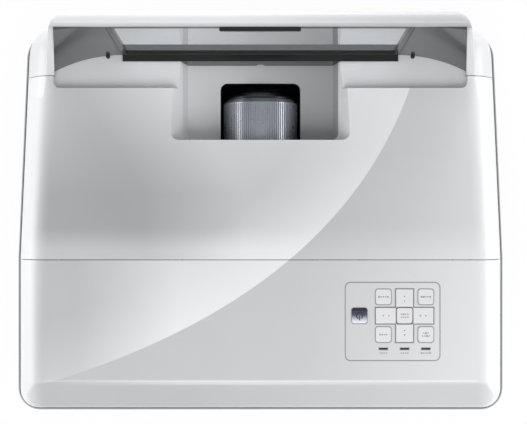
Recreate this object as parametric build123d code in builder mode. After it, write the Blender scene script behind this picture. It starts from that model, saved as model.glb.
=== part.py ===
"""Ultra short throw projector: a low white case whose lens fires backwards into a recess, at a
curved mirror in a raised hood.

Millimetres. +Z is up, -Y is the side that faces the screen, and the hood stands at +Y. The origin
is on the surface that the feet stand on, below the middle of the case.
"""

import os
from math import atan, cos, radians, sin, sqrt, tan

from build123d import *

# Case, overall over the band that runs round the parting line.
WIDTH = 390.0
REAR_NARROWING = 8.0  # how far each side has come in at the back
DEPTH = 304.0
HEIGHT = 190.0
WALL = 2.5
CASE_BOTTOM_Z = 10.0
PARTING_Z = 52.0
DECK_Z = 122.0
REAR_TOP_Z = 105.0
BAND_PROUD = 1.6
BAND_HEIGHT = 3.2
BAND_STEP = 0.4  # how far the band stands out over the lower case
COVER_DRAFT = 5.0
CASE_DRAFT = 4.0
SHOULDER_R = 28.0
FRONT_CORNER_R = 16.0
REAR_CORNER_R = 20.0
BOTTOM_EDGE_R = 6.0
SEAM_GAP = 0.5
REACH = 60.0  # how far a form runs on past the plane that trims it

REAR_WIDTH = WIDTH - 2 * REAR_NARROWING
FRONT = -DEPTH / 2
BACK = DEPTH / 2
COVER_FRONT = FRONT + BAND_PROUD
COVER_BACK = BACK - BAND_PROUD
FLOOR_Z = CASE_BOTTOM_Z + WALL
CEILING_Z = DECK_Z - WALL

# Front cover: a flat deck that ends in a sloping facet.
FRONT_COVER_LENGTH = 123.0
FACET_RUN = 30.0
FACET_ANGLE = 27.0
FACET_EDGE_R = 5.0
SEAM_Y = FRONT + FRONT_COVER_LENGTH

# Top cover: the slope from the deck to the hood, as rises and runs from the seam.
SLOPE_START = 15.0
SLOPE_KNEE = 75.0
SLOPE_KNEE_DROP = 8.5
SLOPE_END_DROP = 14.0
SLOPE_RADII = (180.0, 300.0, 120.0)

# Hood.
HOOD_DEPTH = 24.2
HOOD_WALL = 3.0
HOOD_SIDE_INSET = 19.8  # from the side of the case to the foot of the hood
HOOD_SIDE_LEAN = 18.7
HOOD_SINK = 6.0  # how far the hood reaches down into the rear cover
CHEEK_LENGTH = 17.8
CHEEK_FOOT_Z = 103.0
CAP_HEIGHT = 9.0
CAP_DEPTH = 12.0
CAP_EDGE_R = 4.0
HOOD_CORNER_R = 12.0
BACK_LEAN_RUN = 2.0

HOOD_FOOT_HALF = REAR_WIDTH / 2 - HOOD_SIDE_INSET
HOOD_TOP_HALF = HOOD_FOOT_HALF - HOOD_SIDE_LEAN
WINDOW_FOOT_Y = BACK - HOOD_DEPTH
CHEEK_FOOT_Y = WINDOW_FOOT_Y - CHEEK_LENGTH
LIP_Y = COVER_BACK - CAP_DEPTH
LIP_Z = HEIGHT - CAP_HEIGHT

# Shelf in front of the hood, and the recess that the lens looks out of.
SHELF_Z = 98.0
SHELF_RISE = 4.2
SHELF_LENGTH = 26.0
CHEEK_FOOT = 8.2  # width of the foot of each cheek, beside the shelf
SHELF_CORNER_R = 6.0
SHELF_GAP = 0.3
SIDE_SEAM = 9.6  # from the step of the shelf to the seam on the sides
TONGUE_GAP = 0.4
RECESS_FLOOR_Z = 90.0
RECESS_HALF = 56.5
RECESS_LENGTH = 65.8
RECESS_DRAFT = 29.0
RECESS_CORNER_R = 6.0
LENS_HOLE_HALF = 31.0
LENS_HOLE_CORNER_R = 5.5
LENS_HOLE_MARGIN = 20.8
LENS_HOLE_TOP_Z = 106.5
RECESS_BACK_MARGIN = 2.5

SHELF_HALF = HOOD_FOOT_HALF - CHEEK_FOOT
SHELF_FRONT_Y = WINDOW_FOOT_Y - SHELF_LENGTH
SIDE_SEAM_Y = SHELF_FRONT_Y + SIDE_SEAM
RECESS_FRONT_Y = WINDOW_FOOT_Y - RECESS_LENGTH
RECESS_BACK_Y = WINDOW_FOOT_Y - RECESS_BACK_MARGIN
LENS_HOLE_BACK_Y = WINDOW_FOOT_Y - LENS_HOLE_MARGIN

# Keypad, on the deck at the right.
KEYPAD_SIDE = 95.3  # from the side of the case to the middle of the keypad
KEYPAD_FRONT = 76.6
BEZEL_WIDTH = 71.4
BEZEL_DEPTH = 59.0
BEZEL_CORNER_R = 4.0
BEZEL_THICK = 4.0
BEZEL_LIP = 2.0
BEZEL_GAP = 0.3
PAD_SHIFT_X = 9.0
PAD_SHIFT_Y = 4.4
KEY_PITCH_X = 16.0
KEY_PITCH_Y = 14.2
KEY_SIZE = 11.5
KEY_CORNER_R = 2.0
KEY_GAP = 0.2
KEY_PROUD = 0.6
KEY_FLANGE = 1.0
KEY_FLANGE_THICK = 1.2
KEY_SEAT_GAP = 0.15
KEY_STEM_R = 2.0
KEY_EDGE_R = 0.4
SWITCH_GAP = 0.8
POWER_SHIFT = 25.0
ARM_WIDTH_X = 12.9
ARM_WIDTH_Y = 12.0
CENTRE_KEY_SIZE = 11.8
CENTRE_RING = 0.8
CENTRE_STEM_R = 2.6
PAD_GAP = 0.4
PAD_TILT_GAP = 0.4
PAD_PLATE = 1.4
CENTRE_LIFT = 0.9
SLIT_WIDTH = 6.6
SLIT_DEPTH = 1.4
SLIT_DROP = 25.0
SLIT_SET_BACK = 0.2
BOARD_DROP = 12.0
BOARD_THICK = 1.6
SWITCH_SIZE = 5.0
SWITCH_HEIGHT = 2.0
GIMBAL_OUTER = 17.0
GIMBAL_INNER = 13.0
GIMBAL_THICK = 1.6
GIMBAL_PIN_R = 0.8
GIMBAL_PIN_REACH = 3.0
GIMBAL_CLEAR = 0.05
GIMBAL_DROP = 1.7
LUG_GAP = 0.8
LUG_THICK = 1.5
LUG_DROP = 1.5
LUG_CAP = 0.4

BEZEL_X = WIDTH / 2 - KEYPAD_SIDE
BEZEL_Y = FRONT + KEYPAD_FRONT
PAD_X = BEZEL_X + PAD_SHIFT_X
PAD_Y = BEZEL_Y + PAD_SHIFT_Y

# Lens.
LENS_Z = 76.0
RING_R = 29.0
RING_SET_BACK = 33.0  # from the foot of the window to the front of the ring
RING_LENGTH = 60.8
RING_BORE_R = 22.0
RING_LIP_R = 20.5
RING_LIP = 4.0
RING_CHAMFER = 3.0
RIB_COUNT = 100
RIB_DEPTH = 0.7
RIB_WIDTH = 0.8
RIB_BAND = 3.6
RUN_GAP = 0.05
END_GAP = 0.4
BARREL_WALL = 4.0
FLANGE_R = 27.0
FLANGE_THICK = 10.0
GLASS_R = 18.5
GLASS_BULGE = 4.4
NECK_GAP = 0.3
RETAINER_R = 26.0
RETAINER_EDGE = 1.0
RETAINER_LENGTH = 4.3
RETAINER_RIM = 1.0
GLASS_THICK = 6.0
SHROUD_GAP = 2.5
SHROUD_WALL = 2.0

# Optical engine and what it carries.
ENGINE_WIDTH = 90.0
ENGINE_LENGTH = 85.0
ENGINE_BOTTOM_Z = 46.0
ENGINE_TOP_Z = 106.0
ENGINE_LEG = 12.0
ENGINE_EDGE = 3.0
CHIP_BOARD_WIDTH = 80.0
CHIP_BOARD_HEIGHT = 50.0
SINK_WIDTH = 60.0
SINK_HEIGHT = 44.0
SINK_DEPTH = 24.0
SINK_BASE = 4.0
FIN_COUNT = 9
FIN_THICK = 1.5
LIGHT_SET_BACK = 38.6  # from the back of the engine to the axis of the lamp
LIGHT_Z = 75.0
ROD_SIZE = 6.0
ROD_LENGTH = 14.0
WHEEL_R = 30.0
WHEEL_DROP = 24.0
WHEEL_THICK = 1.2
WHEEL_STAND_OFF = 2.0
MOTOR_R = 9.0
SHAFT_R = 1.5
CAP_THICK = 1.0

# Lamp module, in the case floor at the left.
LAMP_WIDTH = 70.0
LAMP_LENGTH = 80.0
LAMP_TOP_Z = 105.0
LAMP_WALL = 2.0
LAMP_GAP = 21.5  # from the module to the colour wheel
LAMP_EXIT_R = 20.0
LAMP_SLOTS = 5
REFLECTOR_R = 24.0
REFLECTOR_DEPTH = 34.0
REFLECTOR_WALL = 2.5
REFLECTOR_NECK_R = 9.0
REFLECTOR_BORE_R = 5.0
REFLECTOR_POINTS = 7
REFLECTOR_NECK = 16.0
BURNER_R = 3.5
BURNER_LENGTH = 46.0
BULB_R = 4.6
BULB_PLACE = 27.0
DOOR_MARGIN = 6.0
DOOR_GAP = 0.3

# Exhaust fan.
FAN_SIZE = 80.0
FAN_THICK = 25.0
FAN_BORE_R = 38.0
FAN_SIDE = 15.0  # from the side of the case to the fan
FAN_FRONT = 14.0
FAN_CORNER_R = 5.0
HUB_RADIUS = 18.0
BLADE_COUNT = 7
BLADE_GAP = 1.0
BLADE_CHORD = 16.0
BLADE_THICK = 1.4
BLADE_PITCH = 40.0
STRUT_COUNT = 3
STRUT_WIDTH = 5.0
STRUT_THICK = 3.0
FAN_PIN_R = 2.0

# Intake blower.
BLOWER_X = -125.0
BLOWER_BACK = 72.0  # from the back of the case to the axis of the blower
BLOWER_SIZE = 64.0
BLOWER_HEIGHT = 28.0
BLOWER_WALL = 1.6
BLOWER_WHEEL_R = 26.0
BLOWER_WHEEL_HEIGHT = 20.0
BLOWER_INLET_R = 21.0
BLOWER_VANES = 24
BLOWER_MOUTH = 34.0

# Boards, sockets and the rest of the electrics.
MAIN_WIDTH = 195.0
MAIN_LENGTH = 80.0
MAIN_X = 12.0
MAIN_LIFT = 10.0
POST_R = 4.0
POST_MARGIN = 7.0
PANEL_SET_BACK = 10.0
PANEL_THICK = 2.0
PANEL_X0 = -85.0
PANEL_X1 = 150.0
PANEL_TOP_Z = 46.0
PANEL_MARGIN = 5.0
SOCKET_PROUD = 1.0
SOCKET_GAP = 0.2
SOCKET_LENGTH = 14.0
SOCKET_DEPTH = 9.0
SOCKET_WALL = 0.9
LAN_X = -5.0
LAN_WIDTH = 16.0
LAN_HEIGHT = 13.5
LAN_WALL = 1.5
DIGITAL_X = (-68.0, -46.0, -25.0)
DIGITAL_WIDTH = 15.0
DIGITAL_HEIGHT = 6.0
DSUB_X = (25.0, 61.0)
DSUB_WIDTH = 31.0
DSUB_HEIGHT = 12.5
DSUB_SCREW_SPAN = 12.5
DSUB_SHELL_WIDTH = 17.4
DSUB_SHELL_HEIGHT = 8.8
DSUB_SHELL_TAPER = 1.6
DSUB_SHELL_PROUD = 4.5
DSUB_POST_R = 2.4
JACK_X = (82.0, 92.5, 103.0)
JACK_R = 4.2
JACK_BORE_R = 1.8
INLET_X = 132.0
INLET_WIDTH = 27.0
INLET_HEIGHT = 20.0
INLET_WALL = 2.5
INLET_DEPTH = 18.0
INLET_Z = 31.0
INLET_PIN_WIDTH = 2.0
INLET_PIN_HEIGHT = 4.0
INLET_PIN_PITCH = 7.0
INLET_PIN_SET_BACK = 3.0
POWER_SIDE = 12.9  # from the filter cassette to the board
POWER_BOARD_Y = -12.0
POWER_BOARD_WIDTH = 80.0
POWER_BOARD_LENGTH = 110.0
POWER_LIFT = 8.0
TRANSFORMER = 26.0
CAPACITOR_R = 8.0
CAPACITOR_HEIGHT = 32.0
CAPACITOR_MARGIN = 12.0
COOLER_LENGTH = 50.0
COOLER_HEIGHT = 30.0
COOLER_THICK = 4.0
SPEAKER_BACK = 60.0  # from the back of the case to the middle of the speaker
SPEAKER_LENGTH = 44.0
SPEAKER_HEIGHT = 32.0
SPEAKER_DEPTH = 14.0
SPEAKER_CONE_R = 13.0
SPEAKER_CONE_DEPTH = 8.0
SPEAKER_INSET = 5.0
IR_X = -60.0
IR_Z = 76.0
IR_WIDTH = 36.0
IR_HEIGHT = 12.0
IR_FLANGE = 2.0
IR_GAP = 0.2

# Filter cassette, in the right wall of the lower case.
CASSETTE_Y = -10.0
CASSETTE_LENGTH = 110.0
CASSETTE_HEIGHT = 27.0
CASSETTE_DEPTH = 16.0
CASSETTE_GAP = 0.4
CASSETTE_WALL = 2.0
CASSETTE_RAIL = 2.0
CASSETTE_BARS = 12
FOAM_GAP = 0.3
FOAM_THICK = 7.0

# Slots in the walls.
SLOT_WIDTH = 4.0
SLOT_PITCH = 8.0
SLOT_HEIGHT = 24.0
SLOT_BOTTOM = 10.0
EXHAUST_SLOTS = 9
COVER_SLOT_HEIGHT = 28.0
COVER_SLOT_LIFT = 6.0
SPEAKER_SLOTS = 5

# Underside.
FOOT_FRONT_SIDE = 55.0  # from the side of the case to the front feet
FOOT_REAR_SIDE = 22.0
FOOT_FRONT_INSET = 24.0
FOOT_REAR_INSET = 27.0
FOOT_R = 12.0
FOOT_GAP = 0.1
FOOT_STUD_R = 4.0
FOOT_STUD_HEIGHT = 30.0
FOOT_BOSS_R = 8.0
FOOT_BOSS_HEIGHT = 18.0
FOOT_CHAMFER = 1.5
MOUNT_X = 160.0
MOUNT_Y = 180.0
MOUNT_BOSS_R = 6.0
MOUNT_BOSS_HEIGHT = 8.0
INSERT_R = 3.0
INSERT_BORE_R = 1.65
INSERT_LENGTH = 9.0
SCREW_R = 3.0
SCREW_HEAD_R = 5.5
SCREW_HEAD_THICK = 1.8
SCREW_LENGTH = 14.0
SCREW_SPACING = 120.0
SCREW_FRONT_INSET = 14.0
SCREW_SIDE_INSET = 17.0
SCREW_BACK_INSET = 22.0
SCREW_CLEARANCE = 14.0
SCREW_POWER_SHIFT = 30.0
SOCKET_HEX = 3.0
LOCK_BACK = 40.0  # from the back of the case to the middle of the opening
LOCK_LENGTH = 24.0
LOCK_HEIGHT = 18.0
LOCK_BAR_R = 2.0
LOCK_PLATE = 2.0
LOCK_STAND_OFF = 10.0
LOCK_LIFT = 18.0
LOCK_EDGE = 0.5

# Window, wings and mirror in the hood.
WINDOW_FOOT_HALF = 106.0
WINDOW_TOP_HALF = 110.0
WINDOW_GAP = 0.3
FRAME_THICK = 3.0
FRAME_BORDER = 4.0
FRAME_BOTTOM = 4.5
LEDGE_DEPTH = 4.8
LEDGE_THICK = 2.0
APRON_GAP = 0.6
APRON_LEAN = 2.3
APRON_THICK = 2.0
NOTCH_R = 3.0
GLASS_PANE = 1.5
PANE_LAP = 2.0
PANE_GAP = 0.2
WING_THICK = 2.5
WING_FOOT_RUN = 14.0
WING_GAP = 0.3
WING_SAG = 2.0
MIRROR_WIDTH = 180.0
MIRROR_HEIGHT = 46.0
MIRROR_R = 1100.0
MIRROR_THICK = 2.5
MIRROR_BACK_GAP = 0.3
MIRROR_LIFT = 4.0
CLIP_WIDTH = 4.0
CLIP_HEIGHT = 24.0
CLIP_DEPTH = 8.0


def slope_height(y):
    """Height of the three straight runs of the top, before their corners are rounded."""
    knee_y = SEAM_Y + SLOPE_KNEE
    if y < knee_y:
        share = (y - SEAM_Y - SLOPE_START) / (SLOPE_KNEE - SLOPE_START)
        return DECK_Z - SLOPE_KNEE_DROP * share
    share = (y - knee_y) / (SHELF_FRONT_Y - knee_y)
    return DECK_Z - SLOPE_KNEE_DROP - (SLOPE_END_DROP - SLOPE_KNEE_DROP) * share


def half_width(y, inset=0.0):
    """Half the width of the covers at the parting line, which narrow behind the seam."""
    rear_half = REAR_WIDTH / 2 - BAND_PROUD
    front_half = WIDTH / 2 - BAND_PROUD
    return front_half - (front_half - rear_half) * (y - SEAM_Y) / (COVER_BACK - SEAM_Y) - inset


def back_plane(inset):
    """The back of the covers and the hood, which leans in a little over their height."""
    lean = atan(BACK_LEAN_RUN / (HEIGHT - PARTING_Z))
    return Plane((0, COVER_BACK - inset, PARTING_Z), x_dir=(1, 0, 0), z_dir=(0, cos(lean), sin(lean)))


def front_form(inset):
    """The solid shape of the case above the parting line and in front of the seam."""
    half = WIDTH / 2 - BAND_PROUD - inset
    slope = radians(FACET_ANGLE)
    normal = (0, -sin(slope), cos(slope))
    origin = (0, COVER_FRONT + FACET_RUN + inset * sin(slope), DECK_Z - inset * cos(slope))
    with BuildPart() as form:
        with BuildSketch(Plane.XY.offset(PARTING_Z)):
            with Locations((0, COVER_FRONT + inset)):
                Rectangle(2 * half, FRONT_COVER_LENGTH + REACH, align=(Align.CENTER, Align.MIN))
        extrude(amount=DECK_Z - inset - PARTING_Z, taper=COVER_DRAFT)
        top = form.faces().sort_by(Axis.Z)[-1]
        fillet(top.edges().filter_by(Axis.Y), SHOULDER_R - inset)
        front = form.faces().sort_by(Axis.Y)[0]
        outline = front.edges().filter_by(lambda edge: edge.center().Z > PARTING_Z + WALL)
        fillet(outline, FRONT_CORNER_R - inset)
        split(bisect_by=Plane(origin, x_dir=(1, 0, 0), z_dir=normal), keep=Keep.BOTTOM)
        facet = form.faces().sort_by(Axis(origin, normal))[-1]
        fillet(facet.edges(), FACET_EDGE_R - inset)
        split(bisect_by=Plane.XZ.offset(SEAM_GAP / 2 - SEAM_Y), keep=Keep.TOP)
    return form.part


def rear_form(inset):
    """The solid shape of the case above the parting line and behind the seam, without the hood."""
    start_y = SEAM_Y - REACH
    end_y = COVER_BACK + REACH
    knee_y = SEAM_Y + SLOPE_KNEE
    with BuildPart() as form:
        with BuildSketch(Plane.YZ.offset(-WIDTH)):
            with BuildLine():
                FilletPolyline(
                    (start_y, DECK_Z - inset),
                    (SEAM_Y + SLOPE_START, DECK_Z - inset),
                    (knee_y, slope_height(knee_y) - inset),
                    (SHELF_FRONT_Y, slope_height(SHELF_FRONT_Y) - inset),
                    (end_y, REAR_TOP_Z - inset),
                    radius=SLOPE_RADII,
                )
                Polyline(
                    (end_y, REAR_TOP_Z - inset),
                    (end_y, PARTING_Z),
                    (start_y, PARTING_Z),
                    (start_y, DECK_Z - inset),
                )
            make_face()
        extrude(amount=2 * WIDTH)
        with BuildSketch(Plane.XY.offset(PARTING_Z)):
            near = half_width(start_y, inset)
            far = half_width(end_y, inset)
            Polygon((-near, start_y), (near, start_y), (far, end_y), (-far, end_y), align=None)
        extrude(amount=DECK_Z, taper=COVER_DRAFT, mode=Mode.INTERSECT)
        split(bisect_by=Plane.XZ.offset(-SEAM_GAP / 2 - SEAM_Y), keep=Keep.BOTTOM)
        split(bisect_by=back_plane(inset), keep=Keep.BOTTOM)
        sides = [
            edge
            for edge in form.edges()
            if abs(edge.center().X) > half_width(COVER_BACK) - SHOULDER_R
            and edge.center().Z > PARTING_Z + SHOULDER_R
            and abs((edge @ 0).Y - (edge @ 1).Y) > WALL
            and abs((edge @ 0).Z - (edge @ 1).Z) < SHOULDER_R
        ]
        fillet(sides, SHOULDER_R - inset)
        back_face = form.faces().sort_by(Axis.Y)[-1]
        outline = back_face.edges().filter_by(lambda edge: edge.center().Z > PARTING_Z + WALL)
        fillet(outline, REAR_CORNER_R - inset)
    return form.part


def hood_prism(profile, bottom_z, foot_half, top_half):
    """A side profile carried across the case between sides that lean in from shelf to cap."""
    spread = (foot_half - top_half) / (HEIGHT - SHELF_Z)
    bottom_half = foot_half + spread * (SHELF_Z - bottom_z)
    with BuildPart() as prism:
        with BuildSketch(Plane.YZ.offset(-WIDTH)):
            Polygon(*profile, align=None)
        extrude(amount=2 * WIDTH)
        with BuildSketch(Plane.XZ.offset(-DEPTH)):
            Polygon(
                (-bottom_half, bottom_z),
                (bottom_half, bottom_z),
                (top_half, HEIGHT),
                (-top_half, HEIGHT),
                align=None,
            )
        extrude(amount=2 * DEPTH, mode=Mode.INTERSECT)
    return prism.part


def hood_form():
    """The outside of the hood: two leaning cheeks, the back and the cap."""
    base_z = SHELF_Z - HOOD_SINK
    profile = (
        (CHEEK_FOOT_Y, base_z),
        (CHEEK_FOOT_Y, CHEEK_FOOT_Z),
        (LIP_Y, LIP_Z),
        (LIP_Y, HEIGHT),
        (BACK, HEIGHT),
        (BACK, base_z),
    )
    with BuildPart() as form:
        add(hood_prism(profile, base_z, HOOD_FOOT_HALF, HOOD_TOP_HALF))
        split(bisect_by=back_plane(0), keep=Keep.BOTTOM)
        back_face = form.faces().sort_by(Axis.Y)[-1]
        upright = back_face.edges().filter_by(lambda edge: abs(edge.tangent_at(0.5).Z) > 0.5)
        fillet(upright, HOOD_CORNER_R)
        cap = form.faces().sort_by(Axis.Z)[-1]
        fillet(cap.edges(), CAP_EDGE_R)
    return form.part


def hood_cavity():
    """The space inside the hood, open to the front below the lip and open downwards."""
    base_z = PARTING_Z + WALL
    back_y = COVER_BACK - BACK_LEAN_RUN - HOOD_WALL
    profile = (
        (SEAM_Y, base_z),
        (SEAM_Y, LIP_Z),
        (LIP_Y + HOOD_WALL, LIP_Z),
        (LIP_Y + HOOD_WALL, HEIGHT - HOOD_WALL),
        (back_y, HEIGHT - HOOD_WALL),
        (back_y, base_z),
    )
    return hood_prism(profile, base_z, SHELF_HALF + SHELF_GAP, HOOD_TOP_HALF - HOOD_WALL)


def shelf_height(y):
    """Height of the sloping part of the shelf."""
    return SHELF_Z + SHELF_RISE * (WINDOW_FOOT_Y - y) / SHELF_LENGTH


def pocket_form(grow):
    """The space over the shelf."""
    front_y = SHELF_FRONT_Y - grow
    half = SHELF_HALF + grow
    with BuildPart() as form:
        with BuildSketch(Plane.YZ.offset(-half)):
            Polygon(
                (front_y, shelf_height(front_y) - grow),
                (WINDOW_FOOT_Y, SHELF_Z - grow),
                (2 * BACK, SHELF_Z - grow),
                (2 * BACK, HEIGHT),
                (front_y, HEIGHT),
                align=None,
            )
        extrude(amount=2 * half)
        corners = form.edges().filter_by(Axis.Z).group_by(Axis.Y)[0]
        fillet(corners, SHELF_CORNER_R + grow)
    return form.part


def recess_form(grow):
    """The space of the recess in front of the lens, with its sides leaning outwards."""
    lean = radians(RECESS_DRAFT)
    bottom_z = RECESS_FLOOR_Z - grow
    half = RECESS_HALF + grow * (1 - sin(lean)) / cos(lean)
    spread = (HEIGHT - bottom_z) * tan(lean)
    front_y = RECESS_FRONT_Y - grow
    with BuildPart() as form:
        with BuildSketch(Plane.XZ.offset(-front_y)):
            Polygon(
                (-half, bottom_z),
                (half, bottom_z),
                (half + spread, HEIGHT),
                (-half - spread, HEIGHT),
                align=None,
            )
        extrude(amount=-(RECESS_BACK_Y + grow - front_y))
        front = form.faces().sort_by(Axis.Y)[0]
        corners = front.edges().filter_by(lambda edge: abs(edge.tangent_at(0.5).Z) > 0.5)
        fillet(corners, RECESS_CORNER_R + grow)
    return form.part


def plan_outline(grow):
    """Plan of the case at the parting line, grown from the covers' own outline."""
    front_half = WIDTH / 2 - BAND_PROUD + grow
    rear_half = half_width(COVER_BACK) + grow
    with BuildSketch() as outline:
        Polygon(
            (-front_half, COVER_FRONT - grow),
            (front_half, COVER_FRONT - grow),
            (front_half, SEAM_Y),
            (rear_half, COVER_BACK + grow),
            (-rear_half, COVER_BACK + grow),
            (-front_half, SEAM_Y),
            align=None,
        )
        fillet(outline.vertices().group_by(Axis.Y)[0], FRONT_CORNER_R + grow)
        fillet(outline.vertices().group_by(Axis.Y)[-1], REAR_CORNER_R + grow)
    return outline.sketch


def lower_form(inset):
    """The solid shape of the case below the band."""
    top_z = PARTING_Z - BAND_HEIGHT
    with BuildPart() as form:
        with BuildSketch(Plane.XY.offset(top_z)):
            add(plan_outline(BAND_PROUD - BAND_STEP - inset))
        extrude(amount=-(top_z - CASE_BOTTOM_Z - inset), taper=CASE_DRAFT)
        bottom = form.faces().sort_by(Axis.Z)[0]
        fillet(bottom.edges(), BOTTOM_EDGE_R - inset)
    return form.part


def case_half(y, z):
    """Half the width of the lower case at a height, over its outside."""
    drop = PARTING_Z - BAND_HEIGHT - z
    return half_width(max(y, SEAM_Y)) + BAND_PROUD - BAND_STEP - drop * tan(radians(CASE_DRAFT))


def along_x(x, y, z):
    """A work plane whose normal is +X."""
    return Plane((x, y, z), x_dir=(0, 1, 0), z_dir=(1, 0, 0))


def along_y(x, y, z):
    """A work plane whose normal is +Y."""
    return Plane((x, y, z), x_dir=(1, 0, 0), z_dir=(0, 1, 0))


def block(x0, x1, y0, y1, z0, z1, mode=Mode.ADD):
    """A box between two corners, in the part that is being built."""
    with Locations(((x0 + x1) / 2, (y0 + y1) / 2, (z0 + z1) / 2)):
        Box(x1 - x0, y1 - y0, z1 - z0, mode=mode)


def wall_slot(x0, x1, y, z, height):
    """An upright slot through a side wall, in the part that is being built."""
    block(x0, x1, y - SLOT_WIDTH / 2, y + SLOT_WIDTH / 2, z, z + height, Mode.SUBTRACT)


def disc(plane, radius, length, mode=Mode.ADD):
    """A cylinder that stands on a plane, in the part that is being built."""
    with Locations(plane):
        Cylinder(radius, length, align=(Align.CENTER, Align.CENTER, Align.MIN), mode=mode)


def upright(point, z):
    """A work plane whose normal is +Z, over a point of the plan."""
    return Plane((point[0], point[1], z))


# Places that several pieces share.
FOOT_FRONT_Y = FRONT + FOOT_FRONT_INSET
FOOT_REAR_Y = BACK - FOOT_REAR_INSET
FEET = {
    "foot_front_left": (FOOT_FRONT_SIDE - WIDTH / 2, FOOT_FRONT_Y),
    "foot_front_right": (WIDTH / 2 - FOOT_FRONT_SIDE, FOOT_FRONT_Y),
    "foot_rear_left": (FOOT_REAR_SIDE - REAR_WIDTH / 2, FOOT_REAR_Y),
    "foot_rear_right": (REAR_WIDTH / 2 - FOOT_REAR_SIDE, FOOT_REAR_Y),
}
MOUNT_POINTS = tuple((i * MOUNT_X / 2, j * MOUNT_Y / 2) for i in (-1, 1) for j in (-1, 1))
BACK_INSIDE_Y = COVER_BACK - BACK_LEAN_RUN - HOOD_WALL
TONGUE_BACK_Y = BACK_INSIDE_Y - TONGUE_GAP
BEZEL_BOTTOM_Z = DECK_Z - BEZEL_THICK
BOARD_Z = DECK_Z - BOARD_DROP
BOARD_TOP_Z = BOARD_Z + BOARD_THICK
SWITCH_TOP_Z = BOARD_TOP_Z + SWITCH_HEIGHT
STEM_Z = SWITCH_TOP_Z + SWITCH_GAP
KEY_TOP_Z = DECK_Z + KEY_PROUD
KEYS = {
    "key_top_left": (PAD_X - KEY_PITCH_X, PAD_Y + KEY_PITCH_Y),
    "key_top_right": (PAD_X + KEY_PITCH_X, PAD_Y + KEY_PITCH_Y),
    "key_bottom_left": (PAD_X - KEY_PITCH_X, PAD_Y - KEY_PITCH_Y),
    "key_bottom_right": (PAD_X + KEY_PITCH_X, PAD_Y - KEY_PITCH_Y),
    "key_power": (BEZEL_X - POWER_SHIFT, PAD_Y),
}
ARM_TIPS = (
    (PAD_X - KEY_PITCH_X, PAD_Y),
    (PAD_X + KEY_PITCH_X, PAD_Y),
    (PAD_X, PAD_Y - KEY_PITCH_Y),
    (PAD_X, PAD_Y + KEY_PITCH_Y),
)
SLITS = tuple((PAD_X + i * KEY_PITCH_X, PAD_Y - SLIT_DROP) for i in (-1, 0, 1))
RING_FRONT_Y = WINDOW_FOOT_Y - RING_SET_BACK
RING_BACK_Y = RING_FRONT_Y - RING_LENGTH
BARREL_R = RING_BORE_R - RUN_GAP
BARREL_FRONT_Y = RING_FRONT_Y - RING_LIP - END_GAP
RETAINER_FRONT_Y = RING_FRONT_Y + END_GAP + RETAINER_LENGTH
ENGINE_BACK_Y = RING_BACK_Y - END_GAP - FLANGE_THICK
ENGINE_FRONT_Y = ENGINE_BACK_Y - ENGINE_LENGTH
ENGINE_SIDE_X = -ENGINE_WIDTH / 2
LIGHT_Y = ENGINE_BACK_Y - LIGHT_SET_BACK
WHEEL_X = ENGINE_SIDE_X - ROD_LENGTH - WHEEL_STAND_OFF - WHEEL_THICK
WHEEL_Z = LIGHT_Z - WHEEL_DROP
LAMP_X1 = WHEEL_X - LAMP_GAP
LAMP_X0 = LAMP_X1 - LAMP_WIDTH
LAMP_Y0 = LIGHT_Y - LAMP_LENGTH / 2
LAMP_Y1 = LIGHT_Y + LAMP_LENGTH / 2
FAN_X = FAN_SIDE - WIDTH / 2
FAN_Y = FRONT + FAN_FRONT + FAN_SIZE / 2
FAN_Z = FLOOR_Z + FAN_SIZE / 2
FAN_END_X = FAN_X + FAN_THICK
STRUT_X = FAN_END_X - STRUT_THICK
BLOWER_Y = BACK - BLOWER_BACK
PANEL_Y = BACK - PANEL_SET_BACK
PANEL_INSIDE_Y = PANEL_Y - PANEL_THICK
MAIN_Z = FLOOR_Z + MAIN_LIFT
MAIN_TOP_Z = MAIN_Z + BOARD_THICK
MAIN_Y = PANEL_INSIDE_Y - MAIN_LENGTH / 2
SOCKET_END_Y = PANEL_Y + SOCKET_PROUD
POWER_Z = FLOOR_Z + POWER_LIFT
POWER_TOP_Z = POWER_Z + BOARD_THICK
CASSETTE_Z = FLOOR_Z + CASSETTE_RAIL + CASSETTE_GAP
CASSETTE_X = case_half(CASSETTE_Y + CASSETTE_LENGTH / 2, CASSETTE_Z) - CASSETTE_DEPTH
POWER_BOARD_X = CASSETTE_X - POWER_SIDE - POWER_BOARD_WIDTH / 2
LOCK_Y = BACK - LOCK_BACK
LOCK_X = LOCK_STAND_OFF - case_half(LOCK_Y, LOCK_LIFT)
LOCK_Z = FLOOR_Z + LOCK_LIFT
SPEAKER_Y = BACK - SPEAKER_BACK
SPEAKER_X = case_half(SPEAKER_Y + SPEAKER_LENGTH / 2, FLOOR_Z) - WALL - SPEAKER_INSET
MIRROR_Y = BACK_INSIDE_Y - MIRROR_BACK_GAP - MIRROR_THICK
MIRROR_Z = SHELF_Z + MIRROR_LIFT
SCREW_POINTS = (
    (-SCREW_SPACING / 2, FRONT + SCREW_FRONT_INSET),
    (SCREW_SPACING / 2, FRONT + SCREW_FRONT_INSET),
    (WIDTH / 2 - SCREW_SIDE_INSET, CASSETTE_Y - CASSETTE_LENGTH / 2 - SCREW_CLEARANCE),
    (SCREW_SIDE_INSET - WIDTH / 2, LAMP_Y1 + SCREW_CLEARANCE),
    (-SCREW_SPACING, BACK - SCREW_BACK_INSET),
    (
        POWER_BOARD_X + SCREW_POWER_SHIFT,
        POWER_BOARD_Y + POWER_BOARD_LENGTH / 2 + SCREW_CLEARANCE,
    ),
)
WINDOW_LEAN = atan((LIP_Y - WINDOW_FOOT_Y) / (LIP_Z - SHELF_Z))
WINDOW_HEIGHT = (LIP_Z - SHELF_Z) / cos(WINDOW_LEAN) - WINDOW_GAP
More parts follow.
